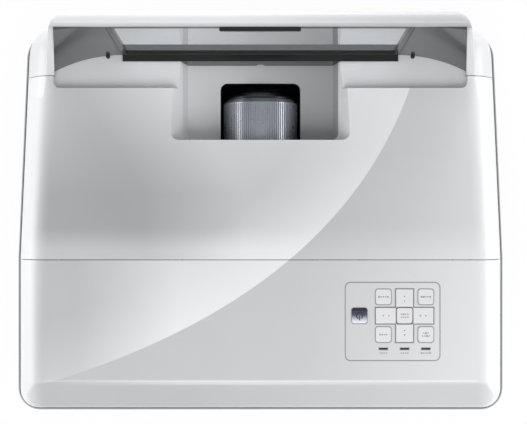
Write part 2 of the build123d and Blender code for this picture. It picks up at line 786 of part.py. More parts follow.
LAMP_AXIS = Axis((0, LIGHT_Y, LIGHT_Z), (1, 0, 0))
LENS_AXIS = Axis((0, 0, LENS_Z), (0, 1, 0))
BURNER_X = LAMP_X0 + LAMP_WALL

os.makedirs("parts", exist_ok=True)

# Outside and inside of the shells, made once.
front_outside = front_form(0)
front_inside = front_form(WALL)
rear_outside = rear_form(0)
rear_inside = rear_form(WALL)
lower_outside = lower_form(0)
lower_inside = lower_form(WALL)

# Lower case, open at the top.
with BuildPart() as bottom_case:
    add(lower_outside)
    add(lower_inside, mode=Mode.SUBTRACT)
    for point in FEET.values():
        disc(upright(point, FLOOR_Z), FOOT_BOSS_R, FOOT_BOSS_HEIGHT)
    for point in MOUNT_POINTS:
        disc(upright(point, FLOOR_Z), MOUNT_BOSS_R, MOUNT_BOSS_HEIGHT)
    for point in SCREW_POINTS:
        disc(upright(point, FLOOR_Z), SCREW_HEAD_R, SCREW_LENGTH)
    with Locations((MAIN_X, MAIN_Y, FLOOR_Z)):
        with GridLocations(MAIN_WIDTH - 2 * POST_MARGIN, MAIN_LENGTH - 2 * POST_MARGIN, 2, 2):
            Cylinder(POST_R, MAIN_LIFT, align=(Align.CENTER, Align.CENTER, Align.MIN))
    power_span_x = POWER_BOARD_WIDTH - 2 * POST_MARGIN
    power_span_y = POWER_BOARD_LENGTH - 2 * POST_MARGIN
    with Locations((POWER_BOARD_X, POWER_BOARD_Y, FLOOR_Z)):
        with GridLocations(power_span_x, power_span_y, 2, 2):
            Cylinder(POST_R, POWER_LIFT, align=(Align.CENTER, Align.CENTER, Align.MIN))
    for end in (-1, 1):
        rail_y = CASSETTE_Y + end * (CASSETTE_LENGTH / 2 - POST_MARGIN)
        rail_end_x = case_half(CASSETTE_Y + CASSETTE_LENGTH / 2, FLOOR_Z) - WALL
        rail_top_z = FLOOR_Z + CASSETTE_RAIL
        block(CASSETTE_X, rail_end_x, rail_y - POST_R, rail_y + POST_R, FLOOR_Z, rail_top_z)
    for point in FEET.values():
        disc(upright(point, 0), FOOT_STUD_R + RUN_GAP, DECK_Z, Mode.SUBTRACT)
    for point in MOUNT_POINTS:
        disc(upright(point, 0), INSERT_R, DECK_Z, Mode.SUBTRACT)
    for point in SCREW_POINTS:
        disc(upright(point, 0), SCREW_R, DECK_Z, Mode.SUBTRACT)
    slot_top_z = PARTING_Z - BAND_HEIGHT - PANEL_MARGIN
    block(
        PANEL_X0 + PANEL_MARGIN,
        PANEL_X1 - PANEL_MARGIN,
        PANEL_Y,
        2 * BACK,
        FLOOR_Z + PANEL_MARGIN,
        slot_top_z,
        Mode.SUBTRACT,
    )
    block(
        CASSETTE_X + CASSETTE_WALL,
        WIDTH,
        CASSETTE_Y - CASSETTE_LENGTH / 2 - CASSETTE_GAP,
        CASSETTE_Y + CASSETTE_LENGTH / 2 + CASSETTE_GAP,
        CASSETTE_Z - CASSETTE_GAP,
        CASSETTE_Z + CASSETTE_HEIGHT + CASSETTE_GAP,
        Mode.SUBTRACT,
    )
    for i in range(EXHAUST_SLOTS):
        slot_y = FAN_Y + (i - (EXHAUST_SLOTS - 1) / 2) * SLOT_PITCH
        slot_z = FLOOR_Z + SLOT_BOTTOM
        wall_slot(-WIDTH, FAN_X, slot_y, slot_z, SLOT_HEIGHT)
    for i in range(SPEAKER_SLOTS):
        slot_y = SPEAKER_Y + (i - (SPEAKER_SLOTS - 1) / 2) * SLOT_PITCH
        slot_z = FLOOR_Z + SLOT_BOTTOM
        wall_slot(SPEAKER_X, WIDTH, slot_y, slot_z, SLOT_HEIGHT)
    block(
        LAMP_X0 + DOOR_MARGIN,
        LAMP_X1 - DOOR_MARGIN,
        LAMP_Y0 + DOOR_MARGIN,
        LAMP_Y1 - DOOR_MARGIN,
        0,
        FLOOR_Z,
        Mode.SUBTRACT,
    )
    block(
        -WIDTH,
        LOCK_X,
        LOCK_Y - LOCK_LENGTH / 2,
        LOCK_Y + LOCK_LENGTH / 2,
        LOCK_Z - LOCK_HEIGHT / 2,
        LOCK_Z + LOCK_HEIGHT / 2,
        Mode.SUBTRACT,
    )
bottom_case.part.label = "bottom_case"
export_step(bottom_case.part, "parts/bottom_case.step")

# Band round the parting line, between the lower case and the covers.
with BuildPart() as trim_band:
    with BuildSketch(Plane.XY.offset(PARTING_Z - BAND_HEIGHT)):
        add(plan_outline(BAND_PROUD))
        add(plan_outline(-WALL), mode=Mode.SUBTRACT)
    extrude(amount=BAND_HEIGHT)
trim_band.part.label = "trim_band"
export_step(trim_band.part, "parts/trim_band.step")

# Front cover, with the hole for the keypad, the exhaust slots and the hole for the receiver.
with BuildPart() as front_cover:
    add(front_outside)
    add(front_inside, mode=Mode.SUBTRACT)
    with BuildSketch(Plane.XY.offset(CEILING_Z)):
        with Locations((BEZEL_X, BEZEL_Y)):
            RectangleRounded(
                BEZEL_WIDTH + 2 * BEZEL_GAP,
                BEZEL_DEPTH + 2 * BEZEL_GAP,
                BEZEL_CORNER_R + BEZEL_GAP,
            )
    extrude(amount=WALL, mode=Mode.SUBTRACT)
    for i in range(EXHAUST_SLOTS):
        slot_y = FAN_Y + (i - (EXHAUST_SLOTS - 1) / 2) * SLOT_PITCH
        slot_z = PARTING_Z + COVER_SLOT_LIFT
        wall_slot(-WIDTH, FAN_X, slot_y, slot_z, COVER_SLOT_HEIGHT)
    with BuildSketch(Plane.XZ.offset(-FRONT - REACH / 2)):
        with Locations((IR_X, IR_Z)):
            SlotOverall(IR_WIDTH + 2 * IR_GAP, IR_HEIGHT + 2 * IR_GAP)
    extrude(amount=REACH, mode=Mode.SUBTRACT)
front_cover.part.label = "front_cover"
export_step(front_cover.part, "parts/front_cover.step")

# Receiver window, flush with the front face, with a flange behind the wall.
with BuildPart() as ir_window:
    with BuildSketch(Plane.XZ.offset(-FRONT - REACH / 2)):
        with Locations((IR_X, IR_Z)):
            SlotOverall(IR_WIDTH, IR_HEIGHT)
    extrude(amount=REACH)
    add(front_outside, mode=Mode.INTERSECT)
    add(front_inside, mode=Mode.SUBTRACT)
with BuildPart() as ir_flange:
    with BuildSketch(Plane.XZ.offset(-FRONT - REACH / 2)):
        with Locations((IR_X, IR_Z)):
            SlotOverall(IR_WIDTH + 2 * IR_FLANGE, IR_HEIGHT + 2 * IR_FLANGE)
    extrude(amount=REACH)
    add(front_inside, mode=Mode.INTERSECT)
    add(front_form(WALL + IR_FLANGE), mode=Mode.SUBTRACT)
with BuildPart() as ir_receiver:
    add(ir_window.part)
    add(ir_flange.part)
ir_receiver.part.label = "ir_window"
export_step(ir_receiver.part, "parts/ir_window.step")

# Top cover: the slope, the shelf and the recess, all of one thickness, and the tongue below the hood.
with BuildPart() as cover_cavity:
    add(rear_inside)
    add(pocket_form(WALL), mode=Mode.SUBTRACT)
    add(recess_form(WALL), mode=Mode.SUBTRACT)
with BuildPart() as top_cover:
    add(rear_outside)
    seam_y = SIDE_SEAM_Y - SEAM_GAP / 2
    block(-WIDTH, -SHELF_HALF, seam_y, DEPTH, 0, HEIGHT, Mode.SUBTRACT)
    block(SHELF_HALF, WIDTH, seam_y, DEPTH, 0, HEIGHT, Mode.SUBTRACT)
    block(-WIDTH, WIDTH, TONGUE_BACK_Y, DEPTH, 0, HEIGHT, Mode.SUBTRACT)
    add(pocket_form(0), mode=Mode.SUBTRACT)
    add(recess_form(0), mode=Mode.SUBTRACT)
    add(cover_cavity.part, mode=Mode.SUBTRACT)
    with BuildSketch(Plane.XY.offset(RECESS_FLOOR_Z - WALL)) as hole:
        Polygon(
            (-LENS_HOLE_HALF, RECESS_FRONT_Y - WALL),
            (LENS_HOLE_HALF, RECESS_FRONT_Y - WALL),
            (LENS_HOLE_HALF, LENS_HOLE_BACK_Y),
            (-LENS_HOLE_HALF, LENS_HOLE_BACK_Y),
            align=None,
        )
        fillet(hole.vertices().group_by(Axis.Y)[-1], LENS_HOLE_CORNER_R)
    extrude(amount=LENS_HOLE_TOP_Z - RECESS_FLOOR_Z + WALL, mode=Mode.SUBTRACT)
top_cover.part.label = "top_cover"
export_step(top_cover.part, "parts/top_cover.step")

# Rear cover, one moulding with the hood.
with BuildPart() as rear_cover:
    add(rear_outside)
    add(hood_form())
    add(rear_inside, mode=Mode.SUBTRACT)
    add(hood_cavity(), mode=Mode.SUBTRACT)
    split(bisect_by=Plane.XZ.offset(-SIDE_SEAM_Y - SEAM_GAP / 2), keep=Keep.BOTTOM)
rear_cover.part.label = "rear_cover"
export_step(rear_cover.part, "parts/rear_cover.step")


def cavity_half(z):
    """Half the width inside the hood at a height."""
    foot_half = SHELF_HALF + SHELF_GAP
    top_half = HOOD_TOP_HALF - HOOD_WALL
    return foot_half - (foot_half - top_half) * (z - SHELF_Z) / (HEIGHT - SHELF_Z)


def wing_profile(z, inner_x, outer_x, front_y, run):
    """Plan of a wing at one height: an arc that leaves the window straight and swings forwards."""
    with BuildSketch(Plane.XY.offset(z)) as profile:
        with BuildLine():
            near = TangentArc((inner_x, front_y), (outer_x, front_y - run), tangent=(1, 0))
            Line(near @ 1, (outer_x, front_y - run + WING_THICK))
            far = TangentArc(
                (inner_x, front_y + WING_THICK),
                (outer_x, front_y - run + WING_THICK),
                tangent=(1, 0),
            )
            Line(far @ 0, near @ 0)
        make_face()
    return profile.sketch


# Wings on both sides of the window, which close the hood's front.
wing_top_z = LIP_Z - WING_GAP
wing_foot_z = SHELF_Z - WING_THICK
wing_foot = wing_profile(
    wing_foot_z,
    WINDOW_FOOT_HALF + WING_GAP,
    cavity_half(wing_foot_z) - WING_GAP,
    WINDOW_FOOT_Y,
    WING_FOOT_RUN,
)
wing_top = wing_profile(
    wing_top_z,
    WINDOW_TOP_HALF + WING_GAP,
    cavity_half(wing_top_z) - WING_GAP,
    LIP_Y,
    WING_SAG,
)
with BuildPart() as hood_wing_right:
    loft(sections=(wing_foot, wing_top), ruled=True)
    add(pocket_form(-WING_GAP), mode=Mode.INTERSECT)
hood_wing_right.part.label = "hood_wing_right"
export_step(hood_wing_right.part, "parts/hood_wing_right.step")
with BuildPart() as hood_wing_left:
    add(mirror(hood_wing_right.part, about=Plane.YZ, mode=Mode.PRIVATE))
hood_wing_left.part.label = "hood_wing_left"
export_step(hood_wing_left.part, "parts/hood_wing_left.step")

# Window in the hood: a leaning frame with an apron that reaches down into the recess.
window_plane = Plane(
    (0, WINDOW_FOOT_Y, SHELF_Z),
    x_dir=(1, 0, 0),
    z_dir=(0, -cos(WINDOW_LEAN), sin(WINDOW_LEAN)),
)


def window_outline(inset, bottom, grow=0.0):
    """The window's outline, drawn in by a border and grown by a lap."""
    side = inset - grow
    low = bottom - grow
    high = WINDOW_HEIGHT - side
    spread = (WINDOW_TOP_HALF - WINDOW_FOOT_HALF) / WINDOW_HEIGHT
    low_half = WINDOW_FOOT_HALF + spread * low - side
    high_half = WINDOW_FOOT_HALF + spread * high - side
    return ((-low_half, low), (low_half, low), (high_half, high), (-high_half, high))


ledge_y = WINDOW_FOOT_Y - LEDGE_DEPTH
ledge_z = shelf_height(ledge_y) + WINDOW_GAP
ledge_top_z = ledge_z + LEDGE_THICK
apron_y = ledge_y - APRON_LEAN
apron_z = RECESS_FLOOR_Z + APRON_GAP
apron_half = RECESS_HALF - APRON_GAP
apron_spread = tan(radians(RECESS_DRAFT))
window_foot = WINDOW_GAP + FRAME_THICK * tan(WINDOW_LEAN)
with BuildPart() as window_apron:
    with BuildSketch(Plane.YZ.offset(-WIDTH)):
        Polygon(
            (ledge_y, ledge_top_z),
            (apron_y, apron_z),
            (apron_y + APRON_THICK, apron_z),
            (ledge_y + APRON_THICK, ledge_top_z),
            align=None,
        )
    extrude(amount=2 * WIDTH)
    with BuildSketch(Plane.XZ.offset(-DEPTH)):
        Polygon(
            (-apron_half, apron_z),
            (apron_half, apron_z),
            (apron_half + apron_spread * (ledge_top_z - apron_z), ledge_top_z),
            (-apron_half - apron_spread * (ledge_top_z - apron_z), ledge_top_z),
            align=None,
        )
        with Locations((0, apron_z)):
            Circle(NOTCH_R, mode=Mode.SUBTRACT)
    extrude(amount=2 * DEPTH, mode=Mode.INTERSECT)
with BuildPart() as window_frame:
    with BuildSketch(window_plane):
        Polygon(*window_outline(0, window_foot), align=None)
        Polygon(*window_outline(FRAME_BORDER, FRAME_BOTTOM), align=None, mode=Mode.SUBTRACT)
    extrude(amount=-FRAME_THICK)
    block(
        -WINDOW_FOOT_HALF,
        WINDOW_FOOT_HALF,
        ledge_y,
        WINDOW_FOOT_Y + FRAME_THICK / 2,
        ledge_z,
        ledge_top_z,
    )
    add(window_apron.part)
    with BuildSketch(window_plane.offset(-FRAME_THICK)):
        Polygon(*window_outline(FRAME_BORDER, FRAME_BOTTOM, PANE_LAP), align=None)
    extrude(amount=GLASS_PANE, mode=Mode.SUBTRACT)
window_frame.part.label = "window_frame"
export_step(window_frame.part, "parts/window_frame.step")

with BuildPart() as window_glass:
    with BuildSketch(window_plane.offset(-FRAME_THICK)):
        Polygon(*window_outline(FRAME_BORDER, FRAME_BOTTOM, PANE_LAP - PANE_GAP), align=None)
    extrude(amount=GLASS_PANE)
window_glass.part.label = "window_glass"
export_step(window_glass.part, "parts/window_glass.step")

# Curved mirror and the bracket that holds it at the hood's back.
with BuildPart() as curved_mirror:
    block(
        -MIRROR_WIDTH / 2,
        MIRROR_WIDTH / 2,
        MIRROR_Y - HOOD_DEPTH,
        BACK,
        MIRROR_Z,
        MIRROR_Z + MIRROR_HEIGHT,
    )
    with Locations((0, MIRROR_Y - MIRROR_R, MIRROR_Z + MIRROR_HEIGHT / 2)):
        Sphere(MIRROR_R + MIRROR_THICK, mode=Mode.INTERSECT)
        Sphere(MIRROR_R, mode=Mode.SUBTRACT)
curved_mirror.part.label = "curved_mirror"
export_step(curved_mirror.part, "parts/curved_mirror.step")

with BuildPart() as mirror_bracket:
    clip_x = MIRROR_WIDTH / 2 + PANE_GAP
    clip_back_y = MIRROR_Y + MIRROR_THICK
    clip_front_y = clip_back_y - CLIP_DEPTH
    block(-clip_x - CLIP_WIDTH, clip_x + CLIP_WIDTH, clip_front_y, clip_back_y, SHELF_Z, MIRROR_Z)
    for side in (-1, 1):
        clip_mid = side * (clip_x + CLIP_WIDTH / 2)
        clip_top_z = MIRROR_Z + CLIP_HEIGHT
        block(
            clip_mid - CLIP_WIDTH / 2,
            clip_mid + CLIP_WIDTH / 2,
            clip_front_y,
            clip_back_y,
            SHELF_Z,
            clip_top_z,
        )
mirror_bracket.part.label = "mirror_bracket"
export_step(mirror_bracket.part, "parts/mirror_bracket.step")

# Dark trough below the lens hole.
with BuildPart() as lens_shroud:
    shroud_top_z = RECESS_FLOOR_Z - WALL
    shroud_end_y = LENS_HOLE_BACK_Y + SHROUD_WALL
    inner_r = RING_R + SHROUD_GAP
    outer_r = inner_r + SHROUD_WALL
    disc(along_y(0, RECESS_FRONT_Y, LENS_Z), outer_r, shroud_end_y - RECESS_FRONT_Y)
    block(-outer_r, outer_r, RECESS_FRONT_Y, shroud_end_y, LENS_Z, shroud_top_z)
    disc(along_y(0, RECESS_FRONT_Y, LENS_Z), inner_r, LENS_HOLE_BACK_Y - RECESS_FRONT_Y, Mode.SUBTRACT)
    block(-inner_r, inner_r, RECESS_FRONT_Y, LENS_HOLE_BACK_Y, LENS_Z, HEIGHT, Mode.SUBTRACT)
    block(-outer_r, outer_r, RECESS_FRONT_Y, shroud_end_y, shroud_top_z, HEIGHT, Mode.SUBTRACT)
lens_shroud.part.label = "lens_shroud"
export_step(lens_shroud.part, "parts/lens_shroud.step")

# Lens barrel with its flange on the engine.
with BuildPart() as lens_barrel:
    disc(along_y(0, ENGINE_BACK_Y, LENS_Z), FLANGE_R, FLANGE_THICK)
    disc(along_y(0, ENGINE_BACK_Y, LENS_Z), BARREL_R, BARREL_FRONT_Y - ENGINE_BACK_Y)
    disc(along_y(0, ENGINE_BACK_Y, LENS_Z), BARREL_R - BARREL_WALL, DEPTH, Mode.SUBTRACT)
    disc(along_y(0, BARREL_FRONT_Y - GLASS_THICK, LENS_Z), GLASS_R, GLASS_THICK, Mode.SUBTRACT)
    with BuildSketch(Plane((0, 0, LENS_Z), x_dir=(0, 1, 0), z_dir=(1, 0, 0))):
        Polygon(
            (BARREL_FRONT_Y, GLASS_R),
            (BARREL_FRONT_Y, RING_LIP_R - NECK_GAP),
            (RING_FRONT_Y + END_GAP, RING_LIP_R - NECK_GAP),
            (RING_FRONT_Y + END_GAP, RETAINER_R),
            (RING_FRONT_Y + END_GAP + RETAINER_EDGE, RETAINER_R),
            (RETAINER_FRONT_Y, GLASS_R + RETAINER_RIM),
            (RETAINER_FRONT_Y, GLASS_R),
            align=None,
        )
    revolve(axis=LENS_AXIS)
lens_barrel.part.label = "lens_barrel"
export_step(lens_barrel.part, "parts/lens_barrel.step")

# Front glass, which bulges out of its retainer, and the rear group in the bore.
with BuildPart() as lens_elements:
    glass_back_y = BARREL_FRONT_Y - GLASS_THICK
    ball_r = (GLASS_R**2 + GLASS_BULGE**2) / (2 * GLASS_BULGE)
    disc(along_y(0, glass_back_y, LENS_Z), GLASS_R, RETAINER_FRONT_Y + GLASS_BULGE - glass_back_y)
    with Locations((0, RETAINER_FRONT_Y + GLASS_BULGE - ball_r, LENS_Z)):
        Sphere(ball_r, mode=Mode.INTERSECT)
    disc(along_y(0, RING_BACK_Y, LENS_Z), BARREL_R - BARREL_WALL, GLASS_THICK)
lens_elements.part.label = "lens_elements"
export_step(lens_elements.part, "parts/lens_elements.step")

# Focus ring: fine ribs between two plain bands.
with BuildPart() as focus_ring:
    with BuildSketch(along_y(0, RING_BACK_Y + RIB_BAND, LENS_Z)):
        Circle(RING_R)
        with PolarLocations(RING_R, RIB_COUNT):
            Rectangle(2 * RIB_DEPTH, RIB_WIDTH, mode=Mode.SUBTRACT)
    extrude(amount=RING_LENGTH - 2 * RIB_BAND)
    disc(along_y(0, RING_BACK_Y, LENS_Z), RING_R, RIB_BAND)
    disc(along_y(0, RING_FRONT_Y - RIB_BAND, LENS_Z), RING_R, RIB_BAND)
    chamfer(focus_ring.edges().filter_by(GeomType.CIRCLE).sort_by(Axis.Y)[-1], RING_CHAMFER)
    disc(along_y(0, RING_BACK_Y, LENS_Z), RING_BORE_R, RING_LENGTH - RING_LIP, Mode.SUBTRACT)
    disc(along_y(0, RING_BACK_Y, LENS_Z), RING_LIP_R, RING_LENGTH, Mode.SUBTRACT)
focus_ring.part.label = "focus_ring"
export_step(focus_ring.part, "parts/focus_ring.step")

# Optical engine on its four legs.
with BuildPart() as optical_engine:
    half = ENGINE_WIDTH / 2
    block(-half, half, ENGINE_FRONT_Y, ENGINE_BACK_Y, ENGINE_BOTTOM_Z, ENGINE_TOP_Z)
    chamfer(optical_engine.faces().sort_by(Axis.Z)[-1].edges(), ENGINE_EDGE)
    for side in (-1, 1):
        for leg_y in (ENGINE_FRONT_Y + ENGINE_LEG / 2, ENGINE_BACK_Y - ENGINE_LEG / 2):
            leg_x = side * (half - ENGINE_LEG / 2)
            block(
                leg_x - ENGINE_LEG / 2,
                leg_x + ENGINE_LEG / 2,
                leg_y - ENGINE_LEG / 2,
                leg_y + ENGINE_LEG / 2,
                FLOOR_Z,
                ENGINE_BOTTOM_Z,
            )
optical_engine.part.label = "optical_engine"
export_step(optical_engine.part, "parts/optical_engine.step")

with BuildPart() as dmd_board:
    block(
        -CHIP_BOARD_WIDTH / 2,
        CHIP_BOARD_WIDTH / 2,
        ENGINE_FRONT_Y - BOARD_THICK,
        ENGINE_FRONT_Y,
        LENS_Z - CHIP_BOARD_HEIGHT / 2,
        LENS_Z + CHIP_BOARD_HEIGHT / 2,
    )
dmd_board.part.label = "dmd_board"
export_step(dmd_board.part, "parts/dmd_board.step")

with BuildPart() as dmd_heatsink:
    sink_y = ENGINE_FRONT_Y - BOARD_THICK
    sink_z = LENS_Z - SINK_HEIGHT / 2
    sink_half = SINK_WIDTH / 2
    block(-sink_half, sink_half, sink_y - SINK_BASE, sink_y, sink_z, sink_z + SINK_HEIGHT)
    for i in range(FIN_COUNT):
        fin_x = FIN_THICK / 2 - sink_half + i * (SINK_WIDTH - FIN_THICK) / (FIN_COUNT - 1)
        block(
            fin_x - FIN_THICK / 2,
            fin_x + FIN_THICK / 2,
            sink_y - SINK_DEPTH,
            sink_y - SINK_BASE,
            sink_z,
            sink_z + SINK_HEIGHT,
        )
dmd_heatsink.part.label = "dmd_heatsink"
export_step(dmd_heatsink.part, "parts/dmd_heatsink.step")

with BuildPart() as integrator_rod:
    block(
        ENGINE_SIDE_X - ROD_LENGTH,
        ENGINE_SIDE_X,
        LIGHT_Y - ROD_SIZE / 2,
        LIGHT_Y + ROD_SIZE / 2,
        LIGHT_Z - ROD_SIZE / 2,
        LIGHT_Z + ROD_SIZE / 2,
    )
integrator_rod.part.label = "integrator_rod"
export_step(integrator_rod.part, "parts/integrator_rod.step")

# Colour wheel on its motor's shaft.
with BuildPart() as wheel_motor:
    motor_x = WHEEL_X + WHEEL_THICK + END_GAP
    shaft_x = WHEEL_X - END_GAP - CAP_THICK
    disc(along_x(motor_x, LIGHT_Y, WHEEL_Z), MOTOR_R, ENGINE_SIDE_X - motor_x)
    disc(along_x(shaft_x, LIGHT_Y, WHEEL_Z), SHAFT_R, ENGINE_SIDE_X - shaft_x)
    disc(along_x(shaft_x, LIGHT_Y, WHEEL_Z), 2 * SHAFT_R, CAP_THICK)
wheel_motor.part.label = "wheel_motor"
export_step(wheel_motor.part, "parts/wheel_motor.step")

with BuildPart() as colour_wheel:
    disc(along_x(WHEEL_X, LIGHT_Y, WHEEL_Z), WHEEL_R, WHEEL_THICK)
    disc(along_x(WHEEL_X, LIGHT_Y, WHEEL_Z), SHAFT_R + RUN_GAP, WHEEL_THICK, Mode.SUBTRACT)
colour_wheel.part.label = "colour_wheel"
export_step(colour_wheel.part, "parts/colour_wheel.step")

# Lamp module.
with BuildPart() as lamp_housing:
    block(LAMP_X0, LAMP_X1, LAMP_Y0, LAMP_Y1, FLOOR_Z, LAMP_TOP_Z)
    block(
        LAMP_X0 + LAMP_WALL,
        LAMP_X1 - LAMP_WALL,
        LAMP_Y0 + LAMP_WALL,
        LAMP_Y1 - LAMP_WALL,
        FLOOR_Z,
        LAMP_TOP_Z - LAMP_WALL,
        Mode.SUBTRACT,
    )
    disc(along_x(LAMP_X1 - LAMP_WALL, LIGHT_Y, LIGHT_Z), LAMP_EXIT_R, LAMP_WALL, Mode.SUBTRACT)
    with Locations(along_y((LAMP_X0 + LAMP_X1) / 2, LAMP_Y0, LIGHT_Z)):
        with GridLocations(SLOT_PITCH, 0, LAMP_SLOTS, 1):
            Box(SLOT_WIDTH, SLOT_HEIGHT, LAMP_LENGTH, mode=Mode.SUBTRACT)
lamp_housing.part.label = "lamp_housing"
export_step(lamp_housing.part, "parts/lamp_housing.step")

with BuildPart() as lamp_reflector:
    vertex_x = BURNER_X + REFLECTOR_NECK
    focal = REFLECTOR_R**2 / (4 * REFLECTOR_DEPTH)
    radius_step = (REFLECTOR_R - REFLECTOR_BORE_R) / (REFLECTOR_POINTS - 1)
    radii = [REFLECTOR_BORE_R + i * radius_step for i in range(REFLECTOR_POINTS)]
    inner_curve = [(vertex_x + r**2 / (4 * focal), r) for r in radii]
    outer_curve = [(x - REFLECTOR_WALL / 2, r + REFLECTOR_WALL) for x, r in inner_curve]
    with BuildSketch(Plane((0, LIGHT_Y, LIGHT_Z), x_dir=(1, 0, 0), z_dir=(0, -1, 0))):
        with BuildLine():
            Spline(*inner_curve)
            Line(inner_curve[-1], outer_curve[-1])
            Spline(*outer_curve)
            Line(outer_curve[0], inner_curve[0])
        make_face()
    revolve(axis=LAMP_AXIS)
    disc(along_x(BURNER_X, LIGHT_Y, LIGHT_Z), REFLECTOR_NECK_R, REFLECTOR_NECK)
    disc(along_x(BURNER_X, LIGHT_Y, LIGHT_Z), REFLECTOR_BORE_R, REFLECTOR_NECK, Mode.SUBTRACT)
lamp_reflector.part.label = "lamp_reflector"
export_step(lamp_reflector.part, "parts/lamp_reflector.step")

with BuildPart() as lamp_burner:
    bulb_x = BURNER_X + BULB_PLACE
    bulb_half = sqrt(BULB_R**2 - BURNER_R**2)
    with BuildSketch(Plane((0, LIGHT_Y, LIGHT_Z), x_dir=(1, 0, 0), z_dir=(0, -1, 0))):
        with BuildLine():
            ThreePointArc((bulb_x - bulb_half, BURNER_R), (bulb_x, BULB_R), (bulb_x + bulb_half, BURNER_R))
            Polyline(
                (bulb_x + bulb_half, BURNER_R),
                (BURNER_X + BURNER_LENGTH, BURNER_R),
                (BURNER_X + BURNER_LENGTH, 0),
                (BURNER_X, 0),
                (BURNER_X, BURNER_R),
                (bulb_x - bulb_half, BURNER_R),
            )
        make_face()
    revolve(axis=LAMP_AXIS)
lamp_burner.part.label = "lamp_burner"
export_step(lamp_burner.part, "parts/lamp_burner.step")

with BuildPart() as lamp_door:
    block(
        LAMP_X0 + DOOR_MARGIN + DOOR_GAP,
        LAMP_X1 - DOOR_MARGIN - DOOR_GAP,
        LAMP_Y0 + DOOR_MARGIN + DOOR_GAP,
        LAMP_Y1 - DOOR_MARGIN - DOOR_GAP,
        CASE_BOTTOM_Z,
        FLOOR_Z,
    )
lamp_door.part.label = "lamp_door"
export_step(lamp_door.part, "parts/lamp_door.step")

# Exhaust fan.
with BuildPart() as fan_frame:
    block(
        FAN_X,
        FAN_END_X,
        FAN_Y - FAN_SIZE / 2,
        FAN_Y + FAN_SIZE / 2,
        FAN_Z - FAN_SIZE / 2,
        FAN_Z + FAN_SIZE / 2,
    )
    fillet(fan_frame.edges().filter_by(Axis.X), FAN_CORNER_R)
    disc(along_x(FAN_X, FAN_Y, FAN_Z), FAN_BORE_R, FAN_THICK, Mode.SUBTRACT)
    disc(along_x(STRUT_X, FAN_Y, FAN_Z), HUB_RADIUS, STRUT_THICK)
    with Locations(along_x(STRUT_X + STRUT_THICK / 2, FAN_Y, FAN_Z)):
        with PolarLocations((FAN_BORE_R + BLADE_GAP) / 2, STRUT_COUNT):
            Box(FAN_BORE_R + BLADE_GAP, STRUT_WIDTH, STRUT_THICK)
    disc(along_x(FAN_X + STRUT_WIDTH, FAN_Y, FAN_Z), FAN_PIN_R, FAN_THICK - STRUT_WIDTH)
fan_frame.part.label = "fan_frame"
export_step(fan_frame.part, "parts/fan_frame.step")

with BuildPart() as fan_rotor:
    rotor_x = FAN_X + STRUT_THICK
    rotor_length = STRUT_X - BLADE_GAP - rotor_x
    blade_length = FAN_BORE_R - BLADE_GAP - HUB_RADIUS
    disc(along_x(rotor_x, FAN_Y, FAN_Z), HUB_RADIUS, rotor_length)
    with Locations(along_x(rotor_x + rotor_length / 2, FAN_Y, FAN_Z)):
        with PolarLocations(HUB_RADIUS + blade_length / 2 - BLADE_GAP, BLADE_COUNT):
            Box(blade_length, BLADE_CHORD, BLADE_THICK, rotation=(BLADE_PITCH, 0, 0))
    pin_plane = along_x(FAN_X + STRUT_WIDTH - END_GAP, FAN_Y, FAN_Z)
    disc(pin_plane, FAN_PIN_R + RUN_GAP, FAN_THICK, Mode.SUBTRACT)
fan_rotor.part.label = "fan_rotor"
export_step(fan_rotor.part, "parts/fan_rotor.step")

# Intake blower.
with BuildPart() as blower_case:
    blower_half = BLOWER_SIZE / 2
    block(
        BLOWER_X - blower_half,
        BLOWER_X + blower_half,
        BLOWER_Y - blower_half,
        BLOWER_Y + blower_half,
        FLOOR_Z,
        FLOOR_Z + BLOWER_HEIGHT,
    )
    fillet(blower_case.edges().filter_by(Axis.Z), FAN_CORNER_R)
    cavity_z = FLOOR_Z + BLOWER_WALL
    cavity_height = BLOWER_HEIGHT - 2 * BLOWER_WALL
    disc(upright((BLOWER_X, BLOWER_Y), cavity_z), blower_half - BLOWER_WALL, cavity_height, Mode.SUBTRACT)
    block(
        BLOWER_X - BLOWER_MOUTH / 2,
        BLOWER_X + BLOWER_MOUTH / 2,
        BLOWER_Y - blower_half,
        BLOWER_Y,
        cavity_z,
        cavity_z + cavity_height,
        Mode.SUBTRACT,
    )
    disc(upright((BLOWER_X, BLOWER_Y), cavity_z), BLOWER_INLET_R, BLOWER_HEIGHT, Mode.SUBTRACT)
    disc(upright((BLOWER_X, BLOWER_Y), FLOOR_Z), FAN_PIN_R, BLOWER_HEIGHT / 2)
blower_case.part.label = "blower_case"
export_step(blower_case.part, "parts/blower_case.step")

with BuildPart() as blower_wheel:
    wheel_z = FLOOR_Z + BLOWER_WALL + BLADE_GAP
    disc(upright((BLOWER_X, BLOWER_Y), wheel_z), BLOWER_WHEEL_R, BLADE_THICK)
    disc(upright((BLOWER_X, BLOWER_Y), wheel_z), MOTOR_R, BLOWER_WHEEL_HEIGHT - BLADE_THICK)
    with Locations((BLOWER_X, BLOWER_Y, wheel_z)):
        with PolarLocations(BLOWER_WHEEL_R - STRUT_WIDTH / 2 - BLADE_GAP, BLOWER_VANES):
            Box(
                STRUT_WIDTH,
                BLADE_THICK,
                BLOWER_WHEEL_HEIGHT,
                align=(Align.CENTER, Align.CENTER, Align.MIN),
            )
    disc(
        upright((BLOWER_X, BLOWER_Y), 0),
        FAN_PIN_R + RUN_GAP,
        FLOOR_Z + BLOWER_HEIGHT / 2 + END_GAP,
        Mode.SUBTRACT,
    )
blower_wheel.part.label = "blower_wheel"
export_step(blower_wheel.part, "parts/blower_wheel.step")

